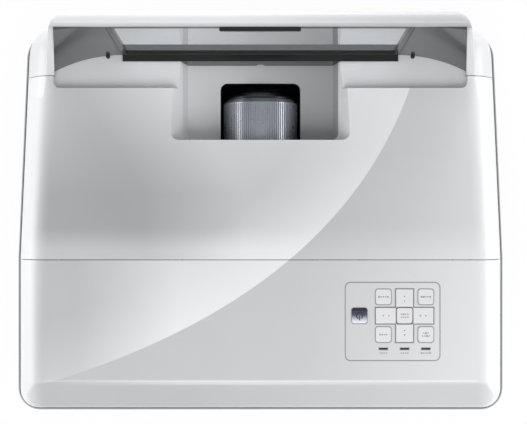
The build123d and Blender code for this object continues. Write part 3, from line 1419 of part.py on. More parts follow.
# Main board behind the socket panel.
with BuildPart() as main_board:
    with BuildSketch(Plane.XY.offset(MAIN_Z)):
        with Locations((MAIN_X, MAIN_Y)):
            Rectangle(MAIN_WIDTH, MAIN_LENGTH)
    extrude(amount=BOARD_THICK)
main_board.part.label = "main_board"
export_step(main_board.part, "parts/main_board.step")

with BuildPart() as io_panel:
    block(PANEL_X0, PANEL_X1, PANEL_INSIDE_Y, PANEL_Y, FLOOR_Z, PANEL_TOP_Z)
    for x in DIGITAL_X:
        block(
            x - DIGITAL_WIDTH / 2 - SOCKET_GAP,
            x + DIGITAL_WIDTH / 2 + SOCKET_GAP,
            PANEL_INSIDE_Y,
            PANEL_Y,
            MAIN_TOP_Z - SOCKET_GAP,
            MAIN_TOP_Z + DIGITAL_HEIGHT + SOCKET_GAP,
            Mode.SUBTRACT,
        )
    block(
        LAN_X - LAN_WIDTH / 2 - SOCKET_GAP,
        LAN_X + LAN_WIDTH / 2 + SOCKET_GAP,
        PANEL_INSIDE_Y,
        PANEL_Y,
        MAIN_TOP_Z - SOCKET_GAP,
        MAIN_TOP_Z + LAN_HEIGHT + SOCKET_GAP,
        Mode.SUBTRACT,
    )
    for x in DSUB_X:
        block(
            x - DSUB_SHELL_WIDTH / 2 - SOCKET_GAP,
            x + DSUB_SHELL_WIDTH / 2 + SOCKET_GAP,
            PANEL_INSIDE_Y,
            PANEL_Y,
            MAIN_TOP_Z + DSUB_HEIGHT / 2 - DSUB_SHELL_HEIGHT / 2 - SOCKET_GAP,
            MAIN_TOP_Z + DSUB_HEIGHT / 2 + DSUB_SHELL_HEIGHT / 2 + SOCKET_GAP,
            Mode.SUBTRACT,
        )
    for x in JACK_X:
        hole_plane = along_y(x, PANEL_INSIDE_Y, MAIN_TOP_Z + JACK_R)
        disc(hole_plane, JACK_R + SOCKET_GAP, PANEL_THICK, Mode.SUBTRACT)
    block(
        INLET_X - INLET_WIDTH / 2 - SOCKET_GAP,
        INLET_X + INLET_WIDTH / 2 + SOCKET_GAP,
        PANEL_INSIDE_Y,
        PANEL_Y,
        INLET_Z - INLET_HEIGHT / 2 - SOCKET_GAP,
        INLET_Z + INLET_HEIGHT / 2 + SOCKET_GAP,
        Mode.SUBTRACT,
    )
io_panel.part.label = "io_panel"
export_step(io_panel.part, "parts/io_panel.step")

with BuildPart() as digital_sockets:
    for x in DIGITAL_X:
        block(
            x - DIGITAL_WIDTH / 2,
            x + DIGITAL_WIDTH / 2,
            SOCKET_END_Y - SOCKET_LENGTH,
            SOCKET_END_Y,
            MAIN_TOP_Z,
            MAIN_TOP_Z + DIGITAL_HEIGHT,
        )
        block(
            x - DIGITAL_WIDTH / 2 + SOCKET_WALL,
            x + DIGITAL_WIDTH / 2 - SOCKET_WALL,
            SOCKET_END_Y - SOCKET_DEPTH,
            SOCKET_END_Y,
            MAIN_TOP_Z + SOCKET_WALL,
            MAIN_TOP_Z + DIGITAL_HEIGHT - SOCKET_WALL,
            Mode.SUBTRACT,
        )
        block(
            x - DIGITAL_WIDTH / 2 + 2 * SOCKET_WALL,
            x + DIGITAL_WIDTH / 2 - 2 * SOCKET_WALL,
            SOCKET_END_Y - SOCKET_DEPTH,
            SOCKET_END_Y - SOCKET_PROUD,
            MAIN_TOP_Z + (DIGITAL_HEIGHT - SOCKET_WALL) / 2,
            MAIN_TOP_Z + (DIGITAL_HEIGHT + SOCKET_WALL) / 2,
        )
digital_sockets.part.label = "digital_sockets"
export_step(digital_sockets.part, "parts/digital_sockets.step")

with BuildPart() as lan_socket:
    block(
        LAN_X - LAN_WIDTH / 2,
        LAN_X + LAN_WIDTH / 2,
        SOCKET_END_Y - SOCKET_LENGTH,
        SOCKET_END_Y,
        MAIN_TOP_Z,
        MAIN_TOP_Z + LAN_HEIGHT,
    )
    block(
        LAN_X - LAN_WIDTH / 2 + LAN_WALL,
        LAN_X + LAN_WIDTH / 2 - LAN_WALL,
        SOCKET_END_Y - SOCKET_DEPTH,
        SOCKET_END_Y,
        MAIN_TOP_Z + LAN_WALL,
        MAIN_TOP_Z + LAN_HEIGHT - LAN_WALL,
        Mode.SUBTRACT,
    )
lan_socket.part.label = "lan_socket"
export_step(lan_socket.part, "parts/lan_socket.step")

with BuildPart() as dsub_sockets:
    shell_z = MAIN_TOP_Z + DSUB_HEIGHT / 2
    for x in DSUB_X:
        block(
            x - DSUB_WIDTH / 2,
            x + DSUB_WIDTH / 2,
            PANEL_INSIDE_Y - SOCKET_DEPTH,
            PANEL_INSIDE_Y,
            MAIN_TOP_Z,
            MAIN_TOP_Z + DSUB_HEIGHT,
        )
        with BuildSketch(along_y(x, PANEL_INSIDE_Y, shell_z)) as shell:
            Polygon(
                (-DSUB_SHELL_WIDTH / 2, -DSUB_SHELL_HEIGHT / 2),
                (DSUB_SHELL_WIDTH / 2, -DSUB_SHELL_HEIGHT / 2),
                (DSUB_SHELL_WIDTH / 2 - DSUB_SHELL_TAPER, DSUB_SHELL_HEIGHT / 2),
                (DSUB_SHELL_TAPER - DSUB_SHELL_WIDTH / 2, DSUB_SHELL_HEIGHT / 2),
                align=None,
            )
            fillet(shell.vertices(), DSUB_SHELL_TAPER)
        extrude(amount=PANEL_THICK + DSUB_SHELL_PROUD)
        with BuildSketch(along_y(x, PANEL_INSIDE_Y, shell_z)):
            offset(shell.sketch_local, amount=-SOCKET_WALL)
        extrude(amount=PANEL_THICK + DSUB_SHELL_PROUD, mode=Mode.SUBTRACT)
        for side in (-1, 1):
            disc(along_y(x + side * DSUB_SCREW_SPAN, PANEL_Y, shell_z), DSUB_POST_R, DSUB_SHELL_PROUD)
dsub_sockets.part.label = "dsub_sockets"
export_step(dsub_sockets.part, "parts/dsub_sockets.step")

with BuildPart() as av_jacks:
    for x in JACK_X:
        disc(along_y(x, SOCKET_END_Y - SOCKET_LENGTH, MAIN_TOP_Z + JACK_R), JACK_R, SOCKET_LENGTH)
        bore_plane = along_y(x, SOCKET_END_Y - SOCKET_DEPTH, MAIN_TOP_Z + JACK_R)
        disc(bore_plane, JACK_BORE_R, SOCKET_DEPTH, Mode.SUBTRACT)
av_jacks.part.label = "av_jacks"
export_step(av_jacks.part, "parts/av_jacks.step")

with BuildPart() as ac_inlet:
    block(
        INLET_X - INLET_WIDTH / 2,
        INLET_X + INLET_WIDTH / 2,
        PANEL_Y - INLET_DEPTH,
        PANEL_Y,
        INLET_Z - INLET_HEIGHT / 2,
        INLET_Z + INLET_HEIGHT / 2,
    )
    block(
        INLET_X - INLET_WIDTH / 2 - INLET_WALL,
        INLET_X + INLET_WIDTH / 2 + INLET_WALL,
        PANEL_Y,
        PANEL_Y + SOCKET_PROUD,
        INLET_Z - INLET_HEIGHT / 2 - INLET_WALL,
        INLET_Z + INLET_HEIGHT / 2 + INLET_WALL,
    )
    block(
        INLET_X - INLET_WIDTH / 2 + INLET_WALL,
        INLET_X + INLET_WIDTH / 2 - INLET_WALL,
        PANEL_Y - INLET_DEPTH + INLET_WALL,
        PANEL_Y + SOCKET_PROUD,
        INLET_Z - INLET_HEIGHT / 2 + INLET_WALL,
        INLET_Z + INLET_HEIGHT / 2 - INLET_WALL,
        Mode.SUBTRACT,
    )
    for i in (-1, 0, 1):
        pin_x = INLET_X + i * INLET_PIN_PITCH
        pin_z = INLET_Z + (INLET_PIN_HEIGHT / 2 if i == 0 else -INLET_PIN_HEIGHT / 2)
        block(
            pin_x - INLET_PIN_WIDTH / 2,
            pin_x + INLET_PIN_WIDTH / 2,
            PANEL_Y - INLET_DEPTH + INLET_WALL,
            PANEL_Y - INLET_PIN_SET_BACK,
            pin_z - INLET_PIN_HEIGHT / 2,
            pin_z + INLET_PIN_HEIGHT / 2,
        )
ac_inlet.part.label = "ac_inlet"
export_step(ac_inlet.part, "parts/ac_inlet.step")

# Power board and what stands on it.
with BuildPart() as power_board:
    with BuildSketch(Plane.XY.offset(POWER_Z)):
        with Locations((POWER_BOARD_X, POWER_BOARD_Y)):
            Rectangle(POWER_BOARD_WIDTH, POWER_BOARD_LENGTH)
    extrude(amount=BOARD_THICK)
power_board.part.label = "power_board"
export_step(power_board.part, "parts/power_board.step")

with BuildPart() as power_components:
    component_span = POWER_BOARD_WIDTH - 2 * CAPACITOR_MARGIN
    with Locations((POWER_BOARD_X, POWER_BOARD_Y, POWER_TOP_Z)):
        with GridLocations(0, TRANSFORMER + CAPACITOR_R, 1, 2):
            Box(TRANSFORMER, TRANSFORMER, TRANSFORMER, align=(Align.CENTER, Align.CENTER, Align.MIN))
        with GridLocations(component_span, POWER_BOARD_LENGTH - 2 * CAPACITOR_MARGIN, 2, 2):
            Cylinder(CAPACITOR_R, CAPACITOR_HEIGHT, align=(Align.CENTER, Align.CENTER, Align.MIN))
        with GridLocations(component_span, 0, 2, 1):
            Box(COOLER_THICK, COOLER_LENGTH, COOLER_HEIGHT, align=(Align.CENTER, Align.CENTER, Align.MIN))
power_components.part.label = "power_components"
export_step(power_components.part, "parts/power_components.step")

# Speaker behind its slots.
with BuildPart() as speaker:
    block(
        SPEAKER_X - SPEAKER_DEPTH,
        SPEAKER_X,
        SPEAKER_Y - SPEAKER_LENGTH / 2,
        SPEAKER_Y + SPEAKER_LENGTH / 2,
        FLOOR_Z,
        FLOOR_Z + SPEAKER_HEIGHT,
    )
    with Locations(along_x(SPEAKER_X - SPEAKER_CONE_DEPTH / 2, SPEAKER_Y, FLOOR_Z + SPEAKER_HEIGHT / 2)):
        Cone(MOTOR_R / 2, SPEAKER_CONE_R, SPEAKER_CONE_DEPTH, mode=Mode.SUBTRACT)
speaker.part.label = "speaker"
export_step(speaker.part, "parts/speaker.step")

# Filter cassette: a grille flush with the leaning wall, and the foam behind it.
cassette_y0 = CASSETTE_Y - CASSETTE_LENGTH / 2
cassette_y1 = CASSETTE_Y + CASSETTE_LENGTH / 2
cassette_z1 = CASSETTE_Z + CASSETTE_HEIGHT
with BuildPart() as cassette_inside:
    block(
        CASSETTE_X,
        WIDTH,
        cassette_y0 + CASSETTE_WALL,
        cassette_y1 - CASSETTE_WALL,
        CASSETTE_Z + CASSETTE_WALL,
        cassette_z1 - CASSETTE_WALL,
    )
    add(lower_inside, mode=Mode.INTERSECT)
with BuildPart() as filter_cassette:
    block(CASSETTE_X, WIDTH, cassette_y0, cassette_y1, CASSETTE_Z, cassette_z1)
    add(lower_outside, mode=Mode.INTERSECT)
    add(cassette_inside.part, mode=Mode.SUBTRACT)
    for i in range(CASSETTE_BARS):
        slot_y = CASSETTE_Y + (i - (CASSETTE_BARS - 1) / 2) * SLOT_PITCH
        block(
            CASSETTE_X + CASSETTE_DEPTH / 2,
            WIDTH,
            slot_y - SLOT_WIDTH / 2,
            slot_y + SLOT_WIDTH / 2,
            CASSETTE_Z + 2 * CASSETTE_WALL,
            cassette_z1 - 2 * CASSETTE_WALL,
            Mode.SUBTRACT,
        )
filter_cassette.part.label = "filter_cassette"
export_step(filter_cassette.part, "parts/filter_cassette.step")

with BuildPart() as filter_foam:
    block(
        CASSETTE_X,
        CASSETTE_X + FOAM_THICK,
        cassette_y0 + CASSETTE_WALL + FOAM_GAP,
        cassette_y1 - CASSETTE_WALL - FOAM_GAP,
        CASSETTE_Z + CASSETTE_WALL + FOAM_GAP,
        cassette_z1 - CASSETTE_WALL - FOAM_GAP,
    )
filter_foam.part.label = "filter_foam"
export_step(filter_foam.part, "parts/filter_foam.step")

# Bar for a security cable, across an opening in the left wall.
with BuildPart() as security_bar:
    bar_x = LOCK_X - LOCK_STAND_OFF + LOCK_BAR_R + WALL / 2
    leg_rise = LOCK_HEIGHT / 2 - LOCK_BAR_R - LOCK_EDGE
    block(
        LOCK_X,
        LOCK_X + LOCK_PLATE,
        LOCK_Y - LOCK_LENGTH / 2 - WALL,
        LOCK_Y + LOCK_LENGTH / 2 + WALL,
        FLOOR_Z,
        LOCK_Z + LOCK_HEIGHT / 2,
    )
    disc(upright((bar_x, LOCK_Y), LOCK_Z - leg_rise), LOCK_BAR_R, 2 * leg_rise)
    for side in (-1, 1):
        disc(along_x(bar_x, LOCK_Y, LOCK_Z + side * leg_rise), LOCK_BAR_R, LOCK_X - bar_x)
        with Locations((bar_x, LOCK_Y, LOCK_Z + side * leg_rise)):
            Sphere(LOCK_BAR_R)
security_bar.part.label = "security_bar"
export_step(security_bar.part, "parts/security_bar.step")

# Screws and threaded inserts in the underside.
with BuildPart() as screws:
    for point in SCREW_POINTS:
        disc(upright(point, CASE_BOTTOM_Z - SCREW_HEAD_THICK), SCREW_HEAD_R, SCREW_HEAD_THICK)
        disc(upright(point, CASE_BOTTOM_Z), SCREW_R, SCREW_LENGTH)
        with BuildSketch(upright(point, CASE_BOTTOM_Z - SCREW_HEAD_THICK)):
            RegularPolygon(SOCKET_HEX, 6)
        extrude(amount=SCREW_HEAD_THICK, mode=Mode.SUBTRACT)
screws.part.label = "screws"
export_step(screws.part, "parts/screws.step")

with BuildPart() as brass_inserts:
    for point in MOUNT_POINTS:
        disc(upright(point, CASE_BOTTOM_Z), INSERT_R, INSERT_LENGTH)
        disc(upright(point, CASE_BOTTOM_Z), INSERT_BORE_R, INSERT_LENGTH, Mode.SUBTRACT)
brass_inserts.part.label = "brass_inserts"
export_step(brass_inserts.part, "parts/brass_inserts.step")

# Levelling feet, each a pad and the stud that screws into its boss.
for name, point in FEET.items():
    with BuildPart() as foot:
        disc(upright(point, 0), FOOT_R, CASE_BOTTOM_Z - FOOT_GAP)
        chamfer(foot.edges().filter_by(GeomType.CIRCLE), FOOT_CHAMFER)
        disc(upright(point, 0), FOOT_STUD_R, FOOT_STUD_HEIGHT)
    foot.part.label = name
    export_step(foot.part, f"parts/{name}.step")


def cross_outline(grow):
    """The plan of the arrow pad: two crossed bars."""
    with BuildSketch() as outline:
        with Locations((PAD_X, PAD_Y)):
            Rectangle(2 * KEY_PITCH_X + KEY_SIZE + 2 * grow, ARM_WIDTH_Y + 2 * grow)
            Rectangle(ARM_WIDTH_X + 2 * grow, 2 * KEY_PITCH_Y + KEY_SIZE + 2 * grow)
    return outline.sketch


# Keypad bezel, flush with the deck, held by a flange below it.
with BuildPart() as keypad_bezel:
    with BuildSketch(Plane.XY.offset(BEZEL_BOTTOM_Z)):
        with Locations((BEZEL_X, BEZEL_Y)):
            RectangleRounded(BEZEL_WIDTH, BEZEL_DEPTH, BEZEL_CORNER_R)
    extrude(amount=BEZEL_THICK)
    with BuildSketch(Plane.XY.offset(BEZEL_BOTTOM_Z)):
        with Locations((BEZEL_X, BEZEL_Y)):
            RectangleRounded(BEZEL_WIDTH + 2 * BEZEL_LIP, BEZEL_DEPTH + 2 * BEZEL_LIP, BEZEL_CORNER_R)
    extrude(amount=CEILING_Z - BEZEL_BOTTOM_Z)
    post_height = BEZEL_BOTTOM_Z - BOARD_TOP_Z
    with Locations((BEZEL_X, BEZEL_Y, BOARD_TOP_Z)):
        with GridLocations(BEZEL_WIDTH, BEZEL_DEPTH, 2, 2):
            Cylinder(BEZEL_LIP, post_height, align=(Align.CENTER, Align.CENTER, Align.MIN))
    with BuildSketch(Plane.XY.offset(BEZEL_BOTTOM_Z)):
        with Locations(*KEYS.values()):
            RectangleRounded(KEY_SIZE + 2 * KEY_GAP, KEY_SIZE + 2 * KEY_GAP, KEY_CORNER_R)
        with Locations(*SLITS):
            Rectangle(SLIT_WIDTH, SLIT_DEPTH)
        add(cross_outline(PAD_GAP))
    extrude(amount=BEZEL_THICK, mode=Mode.SUBTRACT)
keypad_bezel.part.label = "keypad_bezel"
export_step(keypad_bezel.part, "parts/keypad_bezel.step")

with BuildPart() as indicator_lenses:
    with BuildSketch(Plane.XY.offset(BEZEL_BOTTOM_Z)):
        with Locations(*SLITS):
            Rectangle(SLIT_WIDTH, SLIT_DEPTH)
    extrude(amount=BEZEL_THICK - SLIT_SET_BACK)
indicator_lenses.part.label = "indicator_lenses"
export_step(indicator_lenses.part, "parts/indicator_lenses.step")

# Keys: each with its cap, the flange that stops it below the bezel and the stem over its switch.
key_flange_top_z = BEZEL_BOTTOM_Z - KEY_SEAT_GAP
key_flange_size = KEY_SIZE + 2 * KEY_FLANGE
for name, point in KEYS.items():
    with BuildPart() as key:
        with BuildSketch(upright(point, key_flange_top_z)):
            RectangleRounded(KEY_SIZE, KEY_SIZE, KEY_CORNER_R)
        extrude(amount=KEY_TOP_Z - key_flange_top_z)
        fillet(key.faces().sort_by(Axis.Z)[-1].edges(), KEY_EDGE_R)
        with BuildSketch(upright(point, key_flange_top_z)):
            RectangleRounded(key_flange_size, key_flange_size, KEY_CORNER_R)
        extrude(amount=-KEY_FLANGE_THICK)
        disc(upright(point, STEM_Z), KEY_STEM_R, key_flange_top_z - STEM_Z)
    key.part.label = name
    export_step(key.part, f"parts/{name}.step")

# Arrow pad on its gimbal, and the key in its middle.
pad_flange_top_z = BEZEL_BOTTOM_Z - PAD_GAP - PAD_TILT_GAP
pad_bottom_z = pad_flange_top_z - KEY_FLANGE_THICK
pad_plate_top_z = pad_flange_top_z + PAD_PLATE
gimbal_z = pad_bottom_z - GIMBAL_DROP
lug_x = GIMBAL_OUTER / 2 + LUG_GAP + LUG_THICK / 2
pin_hole_r = GIMBAL_PIN_R + GIMBAL_CLEAR
with BuildPart() as nav_pad:
    with BuildSketch(Plane.XY.offset(pad_bottom_z)):
        add(cross_outline(0))
    extrude(amount=KEY_TOP_Z - pad_bottom_z)
    fillet(nav_pad.faces().sort_by(Axis.Z)[-1].edges(), KEY_EDGE_R)
    with BuildSketch(Plane.XY.offset(pad_bottom_z)):
        add(cross_outline(KEY_FLANGE))
    extrude(amount=KEY_FLANGE_THICK)
    with BuildSketch(Plane.XY.offset(pad_plate_top_z)):
        with Locations((PAD_X, PAD_Y)):
            well = CENTRE_KEY_SIZE + 2 * CENTRE_RING
            RectangleRounded(well, well, KEY_CORNER_R)
    extrude(amount=HEIGHT, mode=Mode.SUBTRACT)
    disc(upright((PAD_X, PAD_Y), 0), CENTRE_STEM_R + LUG_GAP, HEIGHT, Mode.SUBTRACT)
    for tip in ARM_TIPS:
        disc(upright(tip, STEM_Z), KEY_STEM_R, pad_bottom_z - STEM_Z)
    for side in (-1, 1):
        mid = PAD_X + side * lug_x
        block(
            mid - LUG_THICK / 2,
            mid + LUG_THICK / 2,
            PAD_Y - LUG_THICK,
            PAD_Y + LUG_THICK,
            gimbal_z - LUG_DROP,
            pad_bottom_z,
        )
        disc(along_x(mid - LUG_THICK, PAD_Y, gimbal_z), pin_hole_r, 2 * LUG_THICK, Mode.SUBTRACT)
nav_pad.part.label = "nav_pad"
export_step(nav_pad.part, "parts/nav_pad.step")

with BuildPart() as nav_gimbal:
    with BuildSketch(Plane.XY.offset(gimbal_z - GIMBAL_THICK / 2)):
        with Locations((PAD_X, PAD_Y)):
            Rectangle(GIMBAL_OUTER, GIMBAL_OUTER)
            Rectangle(GIMBAL_INNER, GIMBAL_INNER, mode=Mode.SUBTRACT)
    extrude(amount=GIMBAL_THICK)
    for start in (-GIMBAL_OUTER / 2 - GIMBAL_PIN_REACH, GIMBAL_OUTER / 2):
        disc(along_x(PAD_X + start, PAD_Y, gimbal_z), GIMBAL_PIN_R, GIMBAL_PIN_REACH)
        disc(along_y(PAD_X, PAD_Y + start, gimbal_z), GIMBAL_PIN_R, GIMBAL_PIN_REACH)
nav_gimbal.part.label = "nav_gimbal"
export_step(nav_gimbal.part, "parts/nav_gimbal.step")

with BuildPart() as key_centre:
    cap_z = pad_plate_top_z + CENTRE_LIFT
    with BuildSketch(upright((PAD_X, PAD_Y), cap_z)):
        RectangleRounded(CENTRE_KEY_SIZE, CENTRE_KEY_SIZE, KEY_CORNER_R)
    extrude(amount=KEY_TOP_Z - cap_z)
    fillet(key_centre.faces().sort_by(Axis.Z)[-1].edges(), KEY_EDGE_R)
    disc(upright((PAD_X, PAD_Y), STEM_Z), CENTRE_STEM_R, cap_z - STEM_Z)
key_centre.part.label = "key_centre"
export_step(key_centre.part, "parts/key_centre.step")

# Keypad board: a switch below each stem, and the two posts that carry the gimbal.
with BuildPart() as keypad_board:
    with BuildSketch(Plane.XY.offset(BOARD_Z)):
        with Locations((BEZEL_X, BEZEL_Y)):
            RectangleRounded(BEZEL_WIDTH + 2 * BEZEL_LIP, BEZEL_DEPTH + 2 * BEZEL_LIP, BEZEL_CORNER_R)
    extrude(amount=BOARD_THICK)
    with BuildSketch(Plane.XY.offset(BOARD_TOP_Z)):
        with Locations(*KEYS.values(), *ARM_TIPS, (PAD_X, PAD_Y)):
            Rectangle(SWITCH_SIZE, SWITCH_SIZE)
    extrude(amount=SWITCH_HEIGHT)
    for side in (-1, 1):
        mid = PAD_Y + side * lug_x
        block(
            PAD_X - LUG_THICK,
            PAD_X + LUG_THICK,
            mid - LUG_THICK / 2,
            mid + LUG_THICK / 2,
            BOARD_TOP_Z,
            gimbal_z + pin_hole_r + LUG_CAP,
        )
        disc(along_y(PAD_X, mid - LUG_THICK, gimbal_z), pin_hole_r, 2 * LUG_THICK, Mode.SUBTRACT)
keypad_board.part.label = "keypad_board"
export_step(keypad_board.part, "parts/keypad_board.step")
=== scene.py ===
"""Looks of an ultra short throw projector with a mirror hood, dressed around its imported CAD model.

Every length is in metres, in the frame of the CAD model: +X to the right of the photograph, +Y to
its top and +Z up, with the floor at z = 0.
"""

import logging
import math
from dataclasses import dataclass
from enum import Enum
from typing import Callable

import bmesh
import bpy
from mathutils import Matrix, Vector


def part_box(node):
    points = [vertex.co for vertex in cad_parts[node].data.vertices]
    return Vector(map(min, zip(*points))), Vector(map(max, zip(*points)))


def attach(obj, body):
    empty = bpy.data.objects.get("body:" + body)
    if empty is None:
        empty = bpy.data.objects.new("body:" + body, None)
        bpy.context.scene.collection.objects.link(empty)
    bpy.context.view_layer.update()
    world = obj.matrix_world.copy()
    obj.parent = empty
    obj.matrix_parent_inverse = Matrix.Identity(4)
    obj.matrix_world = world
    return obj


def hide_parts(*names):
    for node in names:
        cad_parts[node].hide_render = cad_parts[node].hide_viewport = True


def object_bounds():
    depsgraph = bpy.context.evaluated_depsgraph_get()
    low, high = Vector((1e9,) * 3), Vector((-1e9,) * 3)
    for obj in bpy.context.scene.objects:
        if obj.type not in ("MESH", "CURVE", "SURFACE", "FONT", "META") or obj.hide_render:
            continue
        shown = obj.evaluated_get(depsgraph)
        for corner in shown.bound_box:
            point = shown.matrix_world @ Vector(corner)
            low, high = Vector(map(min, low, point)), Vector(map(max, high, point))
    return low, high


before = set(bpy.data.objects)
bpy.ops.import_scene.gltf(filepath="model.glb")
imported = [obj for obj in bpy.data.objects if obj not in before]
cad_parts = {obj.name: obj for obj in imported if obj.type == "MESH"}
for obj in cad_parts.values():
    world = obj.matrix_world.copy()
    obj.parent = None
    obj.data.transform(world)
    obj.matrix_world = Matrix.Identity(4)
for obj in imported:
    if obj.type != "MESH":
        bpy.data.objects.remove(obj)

CAD_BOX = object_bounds()
MM = 0.001
CLOUD_SIZE = 20 * MM
COAT_ROUGHNESS = 0.12

Colour = tuple[float, float, float]
Point = tuple[float, float, float]
Socket = bpy.types.NodeSocket
LOG = logging.getLogger("projector")


def linear(colour: Colour) -> tuple[float, float, float, float]:
    """Turn a display colour into the linear one that shader sockets hold.

    Args:
        colour: Red, green and blue from 0 to 1, as a screen shows them.

    Returns:
        The linear colour with an alpha of 1.
    """
    parts = [c / 12.92 if c <= 0.04045 else ((c + 0.055) / 1.055) ** 2.4 for c in colour]
    return (*parts, 1.0)


def grey(level: float) -> Colour:
    """Return the neutral display colour of one level from 0 to 255."""
    return (level / 255, level / 255, level / 255)


class NodePlan:
    """Node tree of one material, built socket by socket."""

    def __init__(self, name: str) -> None:
        """Start a material with its surface shader and its object coordinates."""
        self.material = bpy.data.materials.new(name)
        self.material.use_nodes = True
        self.tree = self.material.node_tree
        self.surface = self.tree.nodes["Principled BSDF"]
        self.output = self.tree.nodes["Material Output"]
        self.place = self.tree.nodes.new("ShaderNodeTexCoord").outputs["Object"]

    def node(self, kind: str, **settings: object) -> bpy.types.Node:
        """Add one node.

        Args:
            kind: The node type without its ShaderNode prefix.
            settings: Properties of the node.

        Returns:
            The new node.
        """
        made = self.tree.nodes.new("ShaderNode" + kind)
        for key, value in settings.items():
            setattr(made, key, value)
        return made

    def feed(self, socket: Socket, value: object) -> None:
        """Link a socket to another node's output, or set its own value."""
        if isinstance(value, bpy.types.NodeSocket):
            self.tree.links.new(value, socket)
        else:
            socket.default_value = value

    def set(self, **sockets: object) -> None:
        """Feed sockets of the surface shader, with underscores for the spaces in their names."""
        for key, value in sockets.items():
            self.feed(self.surface.inputs[key.replace("_", " ")], value)

    def math(self, kind: str, first: object, second: object = 0.0, third: object = 0.0) -> Socket:
        """Combine up to three values by a Math node's operation."""
        made = self.node("Math", operation=kind)
        for socket, value in zip(made.inputs, (first, second, third)):
            self.feed(socket, value)
        return made.outputs[0]

    def noise(self, size: float, detail: float = 2.0, stretch: Point | None = None) -> Socket:
        """Add noise of a real size.

        Args:
            size: Width of one blotch, in metres.
            detail: Octaves of finer noise.
            stretch: How much longer the blotches are along each axis.

        Returns:
            The noise value, from 0 to 1.
        """
        vector = self.place
        if stretch:
            mapping = self.node("Mapping")
            mapping.inputs["Scale"].default_value = [1 / s for s in stretch]
            self.feed(mapping.inputs["Vector"], vector)
            vector = mapping.outputs["Vector"]
        made = self.node("TexNoise")
        self.feed(made.inputs["Vector"], vector)
        made.inputs["Scale"].default_value = 1 / size
        made.inputs["Detail"].default_value = detail
        return made.outputs["Fac"]

    def span(self, value: Socket, low: float, high: float, out_low: float, out_high: float,
             soft: bool = False) -> Socket:
        """Map a value from one range to another, held at both ends.

        Args:
            value: What is mapped.
            low: Where the first range starts.
            high: Where the first range ends.
            out_low: The result at low.
            out_high: The result at high.
            soft: Whether the change eases in and out.

        Returns:
            The mapped value.
        """
        made = self.node("MapRange", interpolation_type="SMOOTHSTEP" if soft else "LINEAR")
        for socket, number in zip(made.inputs, (value, low, high, out_low, out_high)):
            self.feed(socket, number)
        return made.outputs[0]

    def cloud(self, size: float, low: float, high: float, detail: float = 3.0) -> Socket:
        """Return a value that drifts between two limits, in blotches of a real size."""
        return self.span(self.noise(size, detail), 0.3, 0.7, low, high)

    def near(self, value: Socket, reach: float, peak: float, full: float = 0.0, soft: bool = False) -> Socket:
        """Return a peak where a value is near 0, which falls to 0 at its reach on both sides."""
        return self.span(self.math("ABSOLUTE", value), full, reach, peak, 0.0, soft)

    def mix(self, share: object, first: object, second: object) -> Socket:
        """Blend two values by a share from 0 to 1."""
        made = self.node("Mix", data_type="FLOAT")
        for socket, value in zip(made.inputs, (share, None, first, second)):
            if value is not None:
                self.feed(socket, value)
        return made.outputs[0]

    def blend(self, share: object, first: object, second: object, kind: str = "MIX") -> Socket:
        """Blend two colours by a share from 0 to 1."""
        made = self.node("Mix", data_type="RGBA", blend_type=kind)
        self.feed(made.inputs["Factor"], share)
        self.feed(made.inputs[6], first)
        self.feed(made.inputs[7], second)
        return made.outputs[2]

    def neutral(self, level: Socket, tint: Colour = (1.0, 1.0, 1.0)) -> Socket:
        """Turn a display level from 0 to 255 into a linear colour with a slight tint."""
        share = self.math("MULTIPLY_ADD", level, 1 / (255 * 1.055), 0.055 / 1.055)
        made = self.node("CombineColor")
        for socket in made.inputs:
            self.feed(socket, self.math("POWER", share, 2.4))
        return self.blend(1.0, made.outputs[0], linear(tint), "MULTIPLY")

    def grain(self, size: float, depth: float) -> Socket:
        """Return a bumped normal of fine grains of a real size and depth."""
        return self.bump(self.noise(size, 1.0), depth)

    def bump(self, height: Socket, depth: float) -> Socket:
        """Turn a height from 0 to 1 into a bumped normal of a real depth."""
        made = self.node("Bump")
        made.inputs["Distance"].default_value = depth
        self.feed(made.inputs["Height"], height)
        return made.outputs["Normal"]

    def axes(self) -> tuple[Socket, Socket, Socket]:
        """Return the x, y and z of the object coordinates."""
        made = self.node("SeparateXYZ")
        self.feed(made.inputs[0], self.place)
        return made.outputs["X"], made.outputs["Y"], made.outputs["Z"]


@dataclass(frozen=True)
class Plastic:
    """Moulded plastic: a fine spark texture, a faint flow mottle and a skin of gloss."""

    name: str
    colour: Colour
    roughness: float = 0.4
    gloss: float = 0.0
    grain: float = 0.0006
    grain_depth: float = 0.00001
    mottle: float = 0.04
    mottle_size: float = 0.05

    def build(self) -> bpy.types.Material:
        """Make the material."""
        plan = NodePlan(self.name)
        full = linear(self.colour)
        faded = (*(part * (1 - self.mottle) for part in full[:3]), 1.0)
        plan.set(
            Base_Color=plan.blend(plan.cloud(self.mottle_size, 0.0, 1.0), faded, full),
            Roughness=plan.cloud(CLOUD_SIZE, self.roughness * 0.9, self.roughness * 1.1),
            Normal=plan.grain(self.grain, self.grain_depth),
            Coat_Weight=self.gloss,
            Coat_Roughness=COAT_ROUGHNESS,
        )
        return plan.material


@dataclass(frozen=True)
class Metal:
    """Bare or plated metal with the fine scratches of its making, drawn out along one axis."""

    name: str
    colour: Colour
    roughness: float
    scratch: float = 0.0004
    run: Point = (30.0, 1.0, 1.0)
    scratch_depth: float = 0.000006
    metallic: float = 1.0
    wear: float = 0.94
    cloud_size: float = 12 * MM

    def build(self) -> bpy.types.Material:
        """Make the material."""
        plan = NodePlan(self.name)
        lines = plan.noise(self.scratch, 2.0, self.run)
        worn = linear(tuple(c * self.wear for c in self.colour))
        plan.set(
            Base_Color=plan.blend(plan.span(lines, 0.3, 0.7, 0.0, 1.0), worn, linear(self.colour)),
            Metallic=self.metallic,
            Roughness=plan.cloud(self.cloud_size, self.roughness * 0.8, self.roughness * 1.2),
            Normal=plan.bump(lines, self.scratch_depth),
        )
        return plan.material


